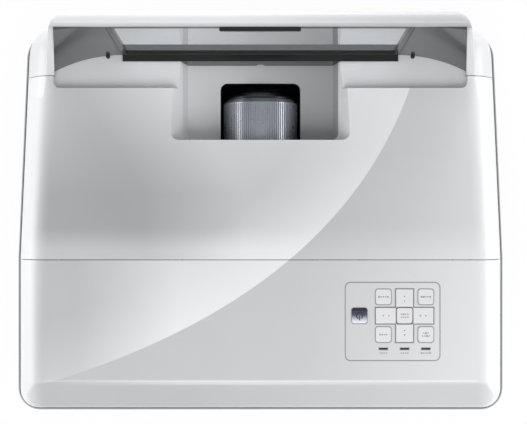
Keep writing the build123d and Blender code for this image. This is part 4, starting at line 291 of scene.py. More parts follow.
@dataclass(frozen=True)
class Board:
    """Circuit board: solder mask over copper tracks, with a scatter of pads."""

    name: str = "circuit_board"
    mask: Colour = (0.05, 0.25, 0.14)
    track: Colour = (0.10, 0.38, 0.22)
    pad: Colour = (0.72, 0.66, 0.42)
    track_size: float = 3.5 * MM
    hill_tracks: float = 6.0
    pad_size: float = 4 * MM
    copper_height: float = 0.03 * MM

    def build(self) -> bpy.types.Material:
        """Make the material."""
        plan = NodePlan(self.name)
        hills = plan.noise(self.track_size * self.hill_tracks, 1.0)
        lanes = plan.math("FRACT", plan.math("MULTIPLY", hills, 2.0 * self.hill_tracks))
        on_track = plan.span(lanes, 0.45, 0.5, 0.0, 1.0)
        cells = plan.node("TexVoronoi", feature="F1")
        cells.inputs["Scale"].default_value = 1 / self.pad_size
        plan.feed(cells.inputs["Vector"], plan.place)
        on_pad = plan.span(cells.outputs["Distance"], 0.16, 0.18, 1.0, 0.0)
        lacquer = plan.blend(on_track, linear(self.mask), linear(self.track))
        plan.set(
            Base_Color=plan.blend(on_pad, lacquer, linear(self.pad)),
            Roughness=plan.span(on_pad, 0.0, 1.0, 0.35, 0.25),
            Normal=plan.bump(on_track, self.copper_height),
            Coat_Weight=0.3,
        )
        return plan.material


@dataclass(frozen=True)
class ReflectionCurve:
    """The long curved edge of a painted reflection across the top: a parabola across the covers.

    It is written in axes turned about +Z, as v = low + rise * (u - middle) ** 2.
    """

    turn: float = math.radians(60.0)
    middle: float = 0.0931
    low: float = -0.0527
    rise: float = 1.683

    def side(self, plan: NodePlan, x: Socket, y: Socket) -> Socket:
        """Return how far a point lies beyond the curve, in metres.

        Args:
            plan: The node tree that it is added to.
            x: The point's x.
            y: The point's y.

        Returns:
            The distance, positive at the upper left.
        """
        u = plan.math("MULTIPLY_ADD", x, math.cos(self.turn), plan.math("MULTIPLY", y, math.sin(self.turn)))
        v = plan.math("MULTIPLY_ADD", x, -math.sin(self.turn), plan.math("MULTIPLY", y, math.cos(self.turn)))
        across = plan.math("SUBTRACT", u, self.middle)
        bowed = plan.math("MULTIPLY_ADD", plan.math("MULTIPLY", across, across), self.rise, self.low)
        return plan.math("SUBTRACT", v, bowed)


@dataclass(frozen=True)
class PearlCoat:
    """Skin that the paints of the covers and of the hood share: a cool tint, fine flakes and a clear coat."""

    tint: Colour = (0.987, 0.990, 1.0)
    roughness: tuple[float, float] = (0.34, 0.42)
    flake: float = 0.5 * MM
    flake_depth: float = 0.006 * MM
    coat: float = 0.25

    def spray(self, plan: NodePlan, level: Socket) -> bpy.types.Material:
        """Finish a paint whose display levels are given, and return its material."""
        plan.set(
            Base_Color=plan.neutral(level, self.tint),
            Roughness=plan.cloud(CLOUD_SIZE, *self.roughness),
            Normal=plan.grain(self.flake, self.flake_depth),
            Coat_Weight=self.coat,
            Coat_Roughness=COAT_ROUGHNESS,
        )
        return plan.material


@dataclass(frozen=True)
class CoverPaintAndPaintedLight:
    """Pearl paint of the two covers with light, shade and a reflection painted into it: a zone of painted
    reflection beyond the curve and a plain one before it.

    Levels are display levels from 0 to 255, and the places where they change are in metres.
    """

    name: str = "cover_paint_and_painted_light"
    coat: PearlCoat = PearlCoat()
    # edge of the painted reflection across the top
    curve: ReflectionCurve = ReflectionCurve()
    curve_blur: float = 0.3 * MM
    seam_y: float = -29 * MM
    # levels of the zone beyond the curve, a painted reflection, climbing to the right as painted light
    reflection_zone_front: float = 185.0
    reflection_zone_top: float = 193.5
    reflection_zone_rise: float = 33.0
    reflection_zone_run: float = 75 * MM
    reflection_zone_start: float = -138 * MM
    # a darker band across the slope behind the seam: painted shade
    trough_back: tuple[float, float] = (100 * MM, 20 * MM)
    trough_front: tuple[float, float] = (-25 * MM, -2 * MM)
    trough_shift: float = 50 * MM
    trough_depth: float = 27.0
    # a painted highlight along the inside of the curve
    edge_width: float = 55 * MM
    edge_front: float = 14.0
    edge_top: float = 8.0
    edge_trough: float = 22.0
    # levels of the zone before the curve: painted light that climbs to the right, and a painted shade dip
    # behind the seam
    plain_level: float = 194.7
    plain_slope: float = 40.0
    plain_turn: float = 30 * MM
    plain_second_slope: float = 148.0
    plain_dip: float = 9.0
    plain_dip_end: float = 2 * MM
    # painted light that lifts the slope towards the hood, against the hood's shade
    lift: float = 12.0
    lift_y: tuple[float, float] = (-5 * MM, 85 * MM)
    crease_y: float = -121.7 * MM
    # a painted highlight along the edge between deck and facet
    crease_highlight_level: float = 25.0
    crease_highlight_core: float = 0.5 * MM
    crease_highlight_reach: float = 2.8 * MM
    # the facet, painted lighter towards the right: painted light
    facet_levels: tuple[float, float] = (189.0, 207.0)
    facet_x: tuple[float, float] = (-60 * MM, 150 * MM)
    # the shelf before the hood, painted lighter to make up for the hood's shade: painted light
    shelf_level: float = 236.0
    shelf_place: tuple[float, float] = (95 * MM, 106 * MM)
    # the recess floor, painted darker from left to right: painted shade
    recess_levels: tuple[float, float] = (214.0, 158.0)
    recess_half: float = 62 * MM
    recess_place: tuple[float, float] = (58 * MM, 96.2 * MM)
    narrowing: float = 8 / 304
    # the side fillets, painted lighter: a painted highlight on top of the side lamps' real light
    flank: tuple[float, float] = (163 * MM, 183 * MM)
    flank_level: float = 236.0
    mottle: float = 3.0
    mottle_size: float = 30 * MM

    def satin(self, plan: NodePlan, x: Socket, y: Socket, beyond: Socket) -> Socket:
        """Return the level of the zone beyond the curve, a painted reflection.

        Args:
            plan: The node tree that it is added to.
            x: The point's x.
            y: The point's y.
            beyond: How far the point lies beyond the curve.

        Returns:
            The display level: painted shade at the left and in the trough, a painted highlight along the
                curve.
        """
        behind = plan.span(y, self.seam_y, self.seam_y + MM, 0.0, 1.0)
        sink = plan.math("MULTIPLY", plan.span(y, *self.trough_back, 0.0, 1.0), behind)
        trough = plan.math("MULTIPLY", sink, plan.span(y, *self.trough_front, 0.0, 1.0, True))
        start = plan.math("MULTIPLY_ADD", sink, self.trough_shift, self.reflection_zone_start)
        run = plan.math("DIVIDE", plan.math("SUBTRACT", x, start), self.reflection_zone_run)
        climb = plan.math("MULTIPLY", plan.span(run, 0.0, 1.0, 0.0, 1.0), self.reflection_zone_rise)
        floor = plan.math("ADD", climb, plan.mix(behind, self.reflection_zone_front, self.reflection_zone_top))
        # darken the trough: painted shade
        base = plan.math("MULTIPLY_ADD", trough, -self.trough_depth, floor)
        # the crest is a painted highlight along the curve
        crest = plan.mix(behind, self.edge_front,
                         plan.math("MULTIPLY_ADD", trough, self.edge_trough, self.edge_top))
        edge = plan.math("MULTIPLY", plan.span(beyond, 0.0, self.edge_width, 1.0, 0.0), crest)
        return plan.math("ADD", base, edge)

    def plain(self, plan: NodePlan, x: Socket, y: Socket) -> Socket:
        """Return the level of the zone before the curve, which climbs faster at the right as painted light,
        with a painted shade dip behind the seam.
        """
        level = plan.math("MULTIPLY_ADD", x, self.plain_slope, self.plain_level)
        past = plan.math("MAXIMUM", plan.math("SUBTRACT", x, self.plain_turn), 0.0)
        level = plan.math("MULTIPLY_ADD", past, self.plain_second_slope, level)
        dip = plan.span(y, self.seam_y, self.plain_dip_end, 0.0, self.plain_dip, True)
        return plan.math("SUBTRACT", level, dip)

    def crease_highlight(self, plan: NodePlan, x: Socket, y: Socket) -> Socket:
        """Return the painted highlight along the front cover's edge between deck and facet, which fades out
        at both ends.
        """
        line = plan.near(plan.math("SUBTRACT", y, self.crease_y), self.crease_highlight_reach, self.crease_highlight_level,
                         self.crease_highlight_core, True)
        ends = plan.math("MULTIPLY", plan.span(x, -155 * MM, -60 * MM, 0.05, 1.0),
                         plan.span(x, 0.0, 160 * MM, 1.0, 0.15))
        return plan.math("MULTIPLY", line, ends)

    def level(self, plan: NodePlan) -> Socket:
        """Return the display level of the paint, with its painted light, shade and reflection, at every place
        of the covers.
        """
        x, y, z = plan.axes()
        beyond = self.curve.side(plan, x, y)
        across = plan.span(beyond, -self.curve_blur, self.curve_blur, 0.0, 1.0)
        tone = plan.mix(across, self.plain(plan, x, y), self.satin(plan, x, y, beyond))
        # add the painted light towards the hood
        tone = plan.math("ADD", tone, plan.span(y, *self.lift_y, 0.0, self.lift))
        # painted light on the facet, lighter towards the right
        on_facet = plan.span(y, self.crease_y + MM, self.crease_y - MM, 0.0, 1.0)
        tone = plan.mix(on_facet, tone, plan.span(x, *self.facet_x, *self.facet_levels))
        # add the painted highlight along the edge between deck and facet
        tone = plan.math("ADD", tone, self.crease_highlight(plan, x, y))
        # painted light on the shelf against the hood's shade
        tone = plan.mix(self.zone(plan, y, z, *self.shelf_place), tone, self.shelf_level)
        # painted shade across the recess floor
        recess = plan.span(x, -self.recess_half, self.recess_half, *self.recess_levels, True)
        tone = plan.mix(self.zone(plan, y, z, *self.recess_place), tone, recess)
        # painted highlight on the side fillets
        depth = plan.math("ADD", y, -CAD_BOX[0][1])
        out = plan.math("MULTIPLY_ADD", depth, self.narrowing, plan.math("ABSOLUTE", x))
        return plan.mix(plan.span(out, *self.flank, 0.0, 1.0, True), tone, self.flank_level)

    @staticmethod
    def zone(plan: NodePlan, y: Socket, z: Socket, from_y: float, to_z: float) -> Socket:
        """Return 1 behind a place and below a height, and 0 elsewhere."""
        behind = plan.span(y, from_y - 0.5 * MM, from_y, 0.0, 1.0)
        return plan.math("MULTIPLY", behind, plan.span(z, to_z, to_z + 0.5 * MM, 1.0, 0.0))

    def build(self) -> bpy.types.Material:
        """Make the material."""
        plan = NodePlan(self.name)
        spots = plan.noise(self.mottle_size, 3.0)
        return self.coat.spray(plan, plan.math("MULTIPLY_ADD", spots, self.mottle, self.level(plan)))


@dataclass(frozen=True)
class HoodPaintAndPaintedLight:
    """Paint of the hood with painted light: its cap runs from white at the back, a painted highlight, to grey
    at the lip and at the right, painted shade.
    """

    name: str = "hood_paint_and_painted_light"
    coat: PearlCoat = PearlCoat()
    body_level: float = 226.0
    # the cap, from painted shade at the lip to a painted highlight at the back
    cap_levels: tuple[float, float] = (208.0, 252.0)
    cap_y: tuple[float, float] = (138.5 * MM, 147.5 * MM)
    cap_z: float = 179.5 * MM
    # painted shade towards the right of the cap
    cap_shade_right: float = 26.0
    cap_shade_right_x: tuple[float, float] = (-20 * MM, 130 * MM)

    def build(self) -> bpy.types.Material:
        """Make the material."""
        plan = NodePlan(self.name)
        x, y, z = plan.axes()
        cap_shade_right = plan.span(x, *self.cap_shade_right_x, 0.0, self.cap_shade_right)
        cap = plan.math("SUBTRACT", plan.span(y, *self.cap_y, *self.cap_levels), cap_shade_right)
        on_cap = plan.span(z, self.cap_z - MM, self.cap_z, 0.0, 1.0)
        return self.coat.spray(plan, plan.mix(on_cap, self.body_level, cap))


@dataclass(frozen=True)
class WingGloss:
    """Smoked gloss plastic of the hood's wings, with the line of a painted reflection that crosses each, and
    its black post.
    """

    name: str = "dark_grey_plastic"
    # the wing's colour on both sides of the painted reflection's line, lighter outside it
    dark: Colour = (0.235, 0.24, 0.255)
    light: Colour = (0.295, 0.30, 0.315)
    reflection_line: Colour = (0.16, 0.165, 0.18)
    reflection_line_foot: tuple[float, float] = (160 * MM, 124 * MM)
    reflection_line_top: tuple[float, float] = (128 * MM, 138.5 * MM)
    reflection_line_blur: float = 0.4 * MM
    reflection_line_reach: float = 1.1 * MM
    post: Colour = grey(12)
    post_x: float = 109.8 * MM

    def build(self) -> bpy.types.Material:
        """Make the material."""
        plan = NodePlan(self.name)
        x, y, _ = plan.axes()
        out = plan.math("ABSOLUTE", x)
        # the painted reflection's line across each wing
        run = (Vector(self.reflection_line_top) - Vector(self.reflection_line_foot)).normalized()
        back = plan.math("MULTIPLY", plan.math("SUBTRACT", y, self.reflection_line_foot[1]), -run.x)
        across = plan.math("MULTIPLY_ADD", plan.math("SUBTRACT", out, self.reflection_line_foot[0]), run.y, back)
        outside = plan.span(across, -self.reflection_line_blur, self.reflection_line_blur, 0.0, 1.0)
        shade = plan.blend(outside, linear(self.dark), linear(self.light))
        shade = plan.blend(plan.near(across, self.reflection_line_reach, 0.5), shade, linear(self.reflection_line))
        on_post = plan.span(out, self.post_x, self.post_x + 0.3 * MM, 1.0, 0.0)
        plan.set(
            Base_Color=plan.blend(on_post, shade, linear(self.post)),
            Roughness=plan.cloud(30 * MM, 0.16, 0.22, 2.0),
            Normal=plan.grain(0.8 * MM, 0.004 * MM),
            Coat_Weight=0.25,
            Coat_Roughness=0.08,
        )
        return plan.material


@dataclass(frozen=True)
class PaneGlass:
    """Coated window pane: clear from the front, and a mirror at a glancing angle."""

    name: str = "window_pane"
    colour: Colour = (0.93, 0.94, 0.95)
    clear_at: float = 0.35
    mirror_at: float = 0.75
    metal: tuple[float, float] = (0.08, 0.95)

    def build(self) -> bpy.types.Material:
        """Make the material."""
        plan = NodePlan(self.name)
        facing = plan.node("LayerWeight").outputs["Facing"]
        plan.set(
            Base_Color=linear(self.colour),
            Metallic=plan.span(facing, self.clear_at, self.mirror_at, *self.metal),
            Roughness=plan.cloud(30 * MM, 0.01, 0.03, 2.0),
            Transmission_Weight=1.0,
            IOR=1.5,
        )
        return plan.material


@dataclass(frozen=True)
class PowerKeyGloss:
    """Chromed power key with a painted reflection: deep blue at the hood's side, running to silver at the
    front.
    """

    name: str = "key_power"
    dark: Colour = (0.06, 0.065, 0.10)
    middle: Colour = (0.30, 0.315, 0.42)
    light: Colour = (0.93, 0.93, 0.97)
    back_y: float = -65.5 * MM
    middle_y: float = -70.5 * MM
    front_y: float = -75.5 * MM

    def build(self) -> bpy.types.Material:
        """Make the material."""
        plan = NodePlan(self.name)
        _, y, _ = plan.axes()
        # painted reflection, dark at the hood's side and silver at the front
        upper = plan.span(y, self.middle_y, self.back_y, 0.0, 1.0)
        lower = plan.span(y, self.front_y, self.middle_y, 1.0, 0.0)
        shade = plan.blend(upper, linear(self.middle), linear(self.dark))
        plan.set(
            Base_Color=plan.blend(lower, shade, linear(self.light)),
            Roughness=plan.cloud(4 * MM, 0.22, 0.28, 2.0),
            Normal=plan.grain(0.8 * MM, 0.004 * MM),
            Metallic=0.25,
            Coat_Weight=0.5,
        )
        return plan.material


@dataclass(frozen=True)
class LensCoating:
    """Coated lens glass: nearly black, with a faint green and a hard shine."""

    name: str = "lens_coating"
    deep: Colour = (0.05, 0.07, 0.07)
    rim: Colour = (0.20, 0.24, 0.235)

    def build(self) -> bpy.types.Material:
        """Make the material."""
        plan = NodePlan(self.name)
        facing = plan.node("LayerWeight").outputs["Facing"]
        edge = plan.span(facing, 0.3, 1.0, 0.0, 1.0, True)
        plan.set(
            Base_Color=plan.blend(edge, linear(self.deep), linear(self.rim)),
            Roughness=plan.cloud(10 * MM, 0.02, 0.04, 2.0),
            Coat_Weight=1.0,
            Coat_Roughness=0.02,
        )
        return plan.material


@dataclass(frozen=True)
class ClearGlass:
    """Clear glass of the lamp and of the inner optics."""

    name: str = "glass"
    colour: Colour = (0.96, 0.98, 0.98)

    def build(self) -> bpy.types.Material:
        """Make the material."""
        plan = NodePlan(self.name)
        plan.set(
            Base_Color=linear(self.colour),
            Roughness=plan.cloud(10 * MM, 0.01, 0.04, 2.0),
            Transmission_Weight=1.0,
            IOR=1.5,
        )
        return plan.material


class ProjectorFinishes:
    """Every finish of the projector, by the name of its material slot or of its use here."""

    node_finishes = {
        "front_cover": "cover_paint_and_painted_light",
        "top_cover": "cover_paint_and_painted_light",
        "keypad_bezel": "cover_paint_and_painted_light",
        "rear_cover": "hood_paint_and_painted_light",
        "window_glass": "window_pane",
        "lens_elements": "lens_coating",
        "lens_barrel": "black_satin",
        "window_frame": "frame_gloss",
    }

    def __init__(self) -> None:
        """Build the materials."""
        finishes = [
            Plastic("white_plastic", grey(226), 0.38, 0.25),
            Plastic("grey_trim", (0.655, 0.66, 0.68), 0.35, 0.3),
            Plastic("black_plastic", grey(24), 0.4, 0.1),
            Plastic("black_satin", grey(22), 0.35, 0.2),
            Plastic("frame_gloss", grey(14), 0.18, 0.35),
            Plastic("grey_plastic", grey(150), 0.5),
            Plastic("components", grey(52), 0.45, 0.2, mottle=0.5, mottle_size=0.02),
            Plastic("key_grey", (0.872, 0.872, 0.88), 0.42, 0.1),
            Plastic("rubber", grey(48), 0.8, 0.0, 0.0009, 0.00003),
            Plastic("foam", grey(44), 0.95, 0.0, 0.0015, 0.0006, 0.5, 0.002),
            Plastic("filter_glass", (0.45, 0.32, 0.55), 0.08, 1.0, mottle=0.5, mottle_size=0.03),
            Plastic("dark_lens", (0.09, 0.09, 0.10), 0.06, 1.0),
            Plastic("ink", (0.44, 0.44, 0.45), 0.6, 0.0, mottle=0.1, mottle_size=0.003),
            # painted shade of the gaps round the keypad's openings
            Plastic("gap_shade_lines", (0.665, 0.67, 0.675), 0.6, 0.0, mottle=0.06, mottle_size=0.01),
            # painted shade of the groove along the trim band
            Plastic("groove_shade", (0.35, 0.355, 0.37), 0.5, 0.0),
            Plastic("jack_yellow", (0.86, 0.72, 0.16), 0.4, 0.3),
            Plastic("jack_white", (0.86, 0.86, 0.84), 0.4, 0.3),
            Plastic("jack_red", (0.70, 0.10, 0.10), 0.4, 0.3),
            Metal("aluminium", (0.80, 0.81, 0.82), 0.32),
            Metal("cast_metal", (0.62, 0.62, 0.63), 0.5, 0.002, (1.0, 1.0, 1.0), 0.00008),
            Metal("steel", (0.72, 0.72, 0.74), 0.28),
            Metal("brass", (0.85, 0.68, 0.36), 0.28, run=(1.0, 1.0, 20.0)),
            Metal("mirror", (0.93, 0.94, 0.95), 0.02, 0.05, (1.0, 1.0, 1.0), 0.0),
            Metal("ring_paint", (0.70, 0.715, 0.75), 0.30, 0.0006, (1.0, 20.0, 1.0), 0.000004, 0.65),
            Board(),
            # paint of the covers and the bezel, with painted light, shade and reflection
            CoverPaintAndPaintedLight(),
            # paint of the hood, with painted light and shade on its cap
            HoodPaintAndPaintedLight(),
            WingGloss(),
            PaneGlass(),
            PowerKeyGloss(),
            LensCoating(),
            ClearGlass(),
        ]
        self.materials = {finish.name: finish.build() for finish in finishes}

    def dress(self) -> None:
        """Give every CAD node its finish."""
        for name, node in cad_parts.items():
            for slot in node.material_slots:
                own = slot.material.name.split(".")[0]
                slot.material = self.materials[self.node_finishes.get(name, own)]
        LOG.info("dressed %d nodes", len(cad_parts))


class Workbench:
    """Modelling steps that the sub-assemblies share. Every piece ends at the origin, unturned."""

    def __init__(self, finishes: ProjectorFinishes) -> None:
        """Keep the finishes that the pieces are dressed in."""
        self.finishes = finishes

    @staticmethod
    def take(*pieces: bpy.types.Object) -> None:
        """Select these pieces alone, and make the first of them the active one."""
        bpy.ops.object.select_all(action="DESELECT")
        for piece in pieces:
            piece.select_set(True)
        if pieces:
            bpy.context.view_layer.objects.active = pieces[0]

    @staticmethod
    def open() -> None:
        """Enter edit mode with everything selected."""
        bpy.ops.object.mode_set(mode="EDIT")
        bpy.ops.mesh.select_all(action="SELECT")

    @staticmethod
    def settle() -> bpy.types.Object:
        """Leave edit mode and put the piece's place into its mesh."""
        if bpy.context.mode != "OBJECT":
            bpy.ops.object.mode_set(mode="OBJECT")
        bpy.ops.object.transform_apply(location=True, rotation=True, scale=True)
        return bpy.context.active_object

    def plate(self, centre: Point, size: tuple[float, float], height: float, corner: float = 0.0,
              rim: float = 0.0) -> bpy.types.Object:
        """Make a thin plate with rounded corners, or only its rim.

        Args:
            centre: Middle of the face that it starts from.
            size: Its width and depth.
            height: Its thickness, downwards if negative.
            corner: Radius of its corners.
            rim: Width of the rim, or 0 for the full plate.

        Returns:
            The plate.
        """
        self.take()
        bpy.ops.mesh.primitive_plane_add(size=1, location=centre)
        bpy.context.active_object.scale = (*size, 1)
        self.settle()
        self.open()
        if corner:
            bpy.ops.mesh.bevel(offset=corner, segments=6, affect="VERTICES")
        self.raise_faces(height, rim)
        return self.settle()

    def disc(self, centre: Point, radius: float, height: float, rim: float = 0.0,
             sides: int = 24, turn: float = 0.0) -> bpy.types.Object:
        """Make a thin round or many-sided plate, or only its rim.

        Args:
            centre: Middle of the face that it starts from.
            radius: Its radius, to a corner.
            height: Its thickness.
            rim: Width of the rim, or 0 for the full disc.
            sides: How many sides it has.
            turn: Angle about +Z, in radians.

        Returns:
            The disc.
        """
        self.take()
        bpy.ops.mesh.primitive_circle_add(vertices=sides, radius=radius, fill_type="NGON", location=centre,
                                          rotation=(0, 0, turn))
        self.settle()
        self.open()
        self.raise_faces(height, rim)
        return self.settle()

    @staticmethod
    def raise_faces(height: float, rim: float = 0.0) -> None:
        """Turn the selected flat faces into a solid, after cutting them down to a rim."""
        if rim:
            bpy.ops.mesh.inset(thickness=rim, use_boundary=True)
            bpy.ops.mesh.delete(type="FACE")
            bpy.ops.mesh.select_all(action="SELECT")
        bpy.ops.mesh.extrude_region_move(TRANSFORM_OT_translate={"value": (0, 0, height)})
        bpy.ops.mesh.select_all(action="SELECT")
        bpy.ops.mesh.normals_make_consistent(inside=False)

    def copy_node(self, node: str) -> bpy.types.Object:
        """Copy a CAD node's mesh as a new piece, merged by distance and left active in edit mode."""
        piece = bpy.data.objects.new(node + "_copy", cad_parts[node].data.copy())
        piece.data.materials.clear()
        bpy.context.scene.collection.objects.link(piece)
        self.take(piece)
        self.open()
        bpy.ops.mesh.remove_doubles(threshold=0.01 * MM)
        bpy.ops.mesh.customdata_custom_splitnormals_clear()
        return piece

    @staticmethod
    def choose(piece: bpy.types.Object, wanted: Callable[[bmesh.types.BMFace], bool]) -> None:
        """Select the faces that a test picks, on a piece in edit mode."""
        bpy.ops.mesh.select_all(action="DESELECT")
        bpy.ops.mesh.select_mode(type="FACE")
        for face in bmesh.from_edit_mesh(piece.data).faces:
            face.select_set(wanted(face))
        bmesh.update_edit_mesh(piece.data)

    def join(self, *pieces: bpy.types.Object) -> bpy.types.Object:
        """Join pieces into the first of them."""
        self.take(*pieces)
        if len(pieces) > 1:
            bpy.ops.object.join()
        return bpy.context.active_object

    @staticmethod
    def twin(piece: bpy.types.Object, move: Point) -> bpy.types.Object:
        """Copy a piece with its own mesh, moved."""
        made = piece.copy()
        made.data = piece.data.copy()
        made.data.transform(Matrix.Translation(move))
        bpy.context.scene.collection.objects.link(made)
        return made

    def row(self, piece: bpy.types.Object, count: int, step: Point) -> bpy.types.Object:
        """Repeat a piece in a row, joined to it."""
        twins = [self.twin(piece, tuple(i * part for part in step)) for i in range(1, count)]
        return self.join(piece, *twins)

    def finish(self, piece: bpy.types.Object, name: str, finish: str, body: str,
               smooth: bool = False) -> None:
        """Name a piece, dress it and make it ride on its body.

        Args:
            piece: The piece, at its place.
            name: Its name in the table of pieces.
            finish: The name of its material.
            body: The body that carries it.
            smooth: Whether its curved faces are shaded smooth.
        """
        piece.name = name
        piece.data.name = name
        piece.data.materials.clear()
        piece.data.materials.append(self.finishes.materials[finish])
        if smooth:
            self.take(piece)
            bpy.ops.object.shade_smooth_by_angle(angle=math.radians(40))
        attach(piece, body)
        LOG.info("%s: %d faces on %s", name, len(piece.data.polygons), body)

    def weigh_normals(self, piece: bpy.types.Object) -> None:
        """Give the large faces of a smooth piece their own normals."""
        self.take(piece)
        modifier = piece.modifiers.new("weights", "WEIGHTED_NORMAL")
        modifier.keep_sharp = True
        bpy.ops.object.modifier_apply(modifier=modifier.name)


@dataclass
class CoverShells:
    """Covers whose walls lean in above the trim band, so that the band shows from above."""

    bench: Workbench
    foot_z: float = 52 * MM
    side_top_z: float = 98 * MM
    side_fold: float = 161.6 * MM
    side_share: float = 0.163
    front_top_z: float = 107 * MM
    front_fold: float = 121.7 * MM
    front_share: float = 0.145
    narrowing: float = 8 / 181
    narrow_from: float = -29 * MM
    nodes: tuple[tuple[str, str, str], ...] = (
        ("front_cover", "cover_paint_and_painted_light", "white_plastic"),
        ("top_cover", "cover_paint_and_painted_light", "white_plastic"),
        ("rear_cover", "hood_paint_and_painted_light", "white_plastic"),
        ("ir_window", "dark_lens", "dark_lens"),
    )

    def build(self) -> None:
        """Copy each cover, lean its walls and let it stand for the CAD node."""
        for node, finish, slot in self.nodes:
            piece = self.bench.copy_node(node)
            for vert in bmesh.from_edit_mesh(piece.data).verts:
                self.lean(vert.co)
            bmesh.update_edit_mesh(piece.data)
            self.bench.settle()
            self.bench.finish(piece, node + "_shell", finish, "case", True)
            self.bench.weigh_normals(piece)
            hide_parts(node)

    def lean(self, place: Vector) -> None:
        """Move one point of a wall inwards, by its height and by how far out it lies."""
        reflection_line = self.side_fold - max(0.0, place.y - self.narrow_from) * self.narrowing
        out = abs(place.x) - reflection_line
        if out > 0:
            place.x -= math.copysign(out * self.side_share * self.share(place.z, self.side_top_z), place.x)
        out = -place.y - self.front_fold
        if out > 0:
            place.y += out * self.front_share * self.share(place.z, self.front_top_z)

    def share(self, z: float, top: float) -> float:
        """Return 0 at the foot of a wall and 1 from its top on."""
        return min(1.0, max(0.0, (z - self.foot_z) / (top - self.foot_z)))


@dataclass
class CaseTrim:
    """Dark strip of painted shadow that lies along the trim band, against the covers, where the groove's
    shade falls.
    """

    bench: Workbench
    band_top: float = 52 * MM
    band_slack: float = 0.05 * MM
    light_width: float = 0.95 * MM
    groove_width: float = 0.70 * MM
    groove_height: float = 0.30 * MM

    def build(self) -> None:
        """Lay the dark strip of painted shadow on the band's ledge, following the band's own outline."""
        piece = self.bench.copy_node("trim_band")
        bpy.ops.mesh.select_all(action="DESELECT")
        bpy.ops.mesh.select_mode(type="EDGE")
        for edge in bmesh.from_edit_mesh(piece.data).edges:
            edge.select_set(self.on_rim(edge))
        bmesh.update_edit_mesh(piece.data)
        bpy.ops.mesh.edge_face_add()
        self.keep_chosen()
        bpy.ops.mesh.inset(thickness=self.light_width)
        self.keep_chosen()
        bpy.ops.mesh.normals_make_consistent(inside=False)
        self.bench.raise_faces(self.groove_height, self.groove_width)
        self.bench.settle()
        self.bench.finish(piece, "trim_groove_shadow_strip", "groove_shade", "case")

    def on_rim(self, edge: bmesh.types.BMEdge) -> bool:
        """Tell whether an edge is on the outer rim of the band's top."""
        high = all(vert.co.z > self.band_top - self.band_slack for vert in edge.verts)
        ups = [face.normal.z > 0.9 for face in edge.link_faces]
        outward = any(face.normal.xy.dot(face.calc_center_median().xy) > 0 and abs(face.normal.z) < 0.5
                      for face in edge.link_faces)
        return high and len(ups) == 2 and any(ups) and outward

    @staticmethod
    def keep_chosen() -> None:
        """Delete every vertex that isn't selected, then select what is left."""
        bpy.ops.mesh.select_mode(type="VERT")
        bpy.ops.mesh.select_all(action="INVERT")
        bpy.ops.mesh.delete(type="VERT")
        bpy.ops.mesh.select_mode(type="FACE")
        bpy.ops.mesh.select_all(action="SELECT")


class Mark(Enum):
    """Shapes that the printed pictograms are composed of, each with its sign in a row."""

    BAR = "-"
    BOX = "x"
    RING = "o"
    DOT = "."
    LEFT = "<"
    RIGHT = ">"
    UP = "^"
    DOWN = "v"


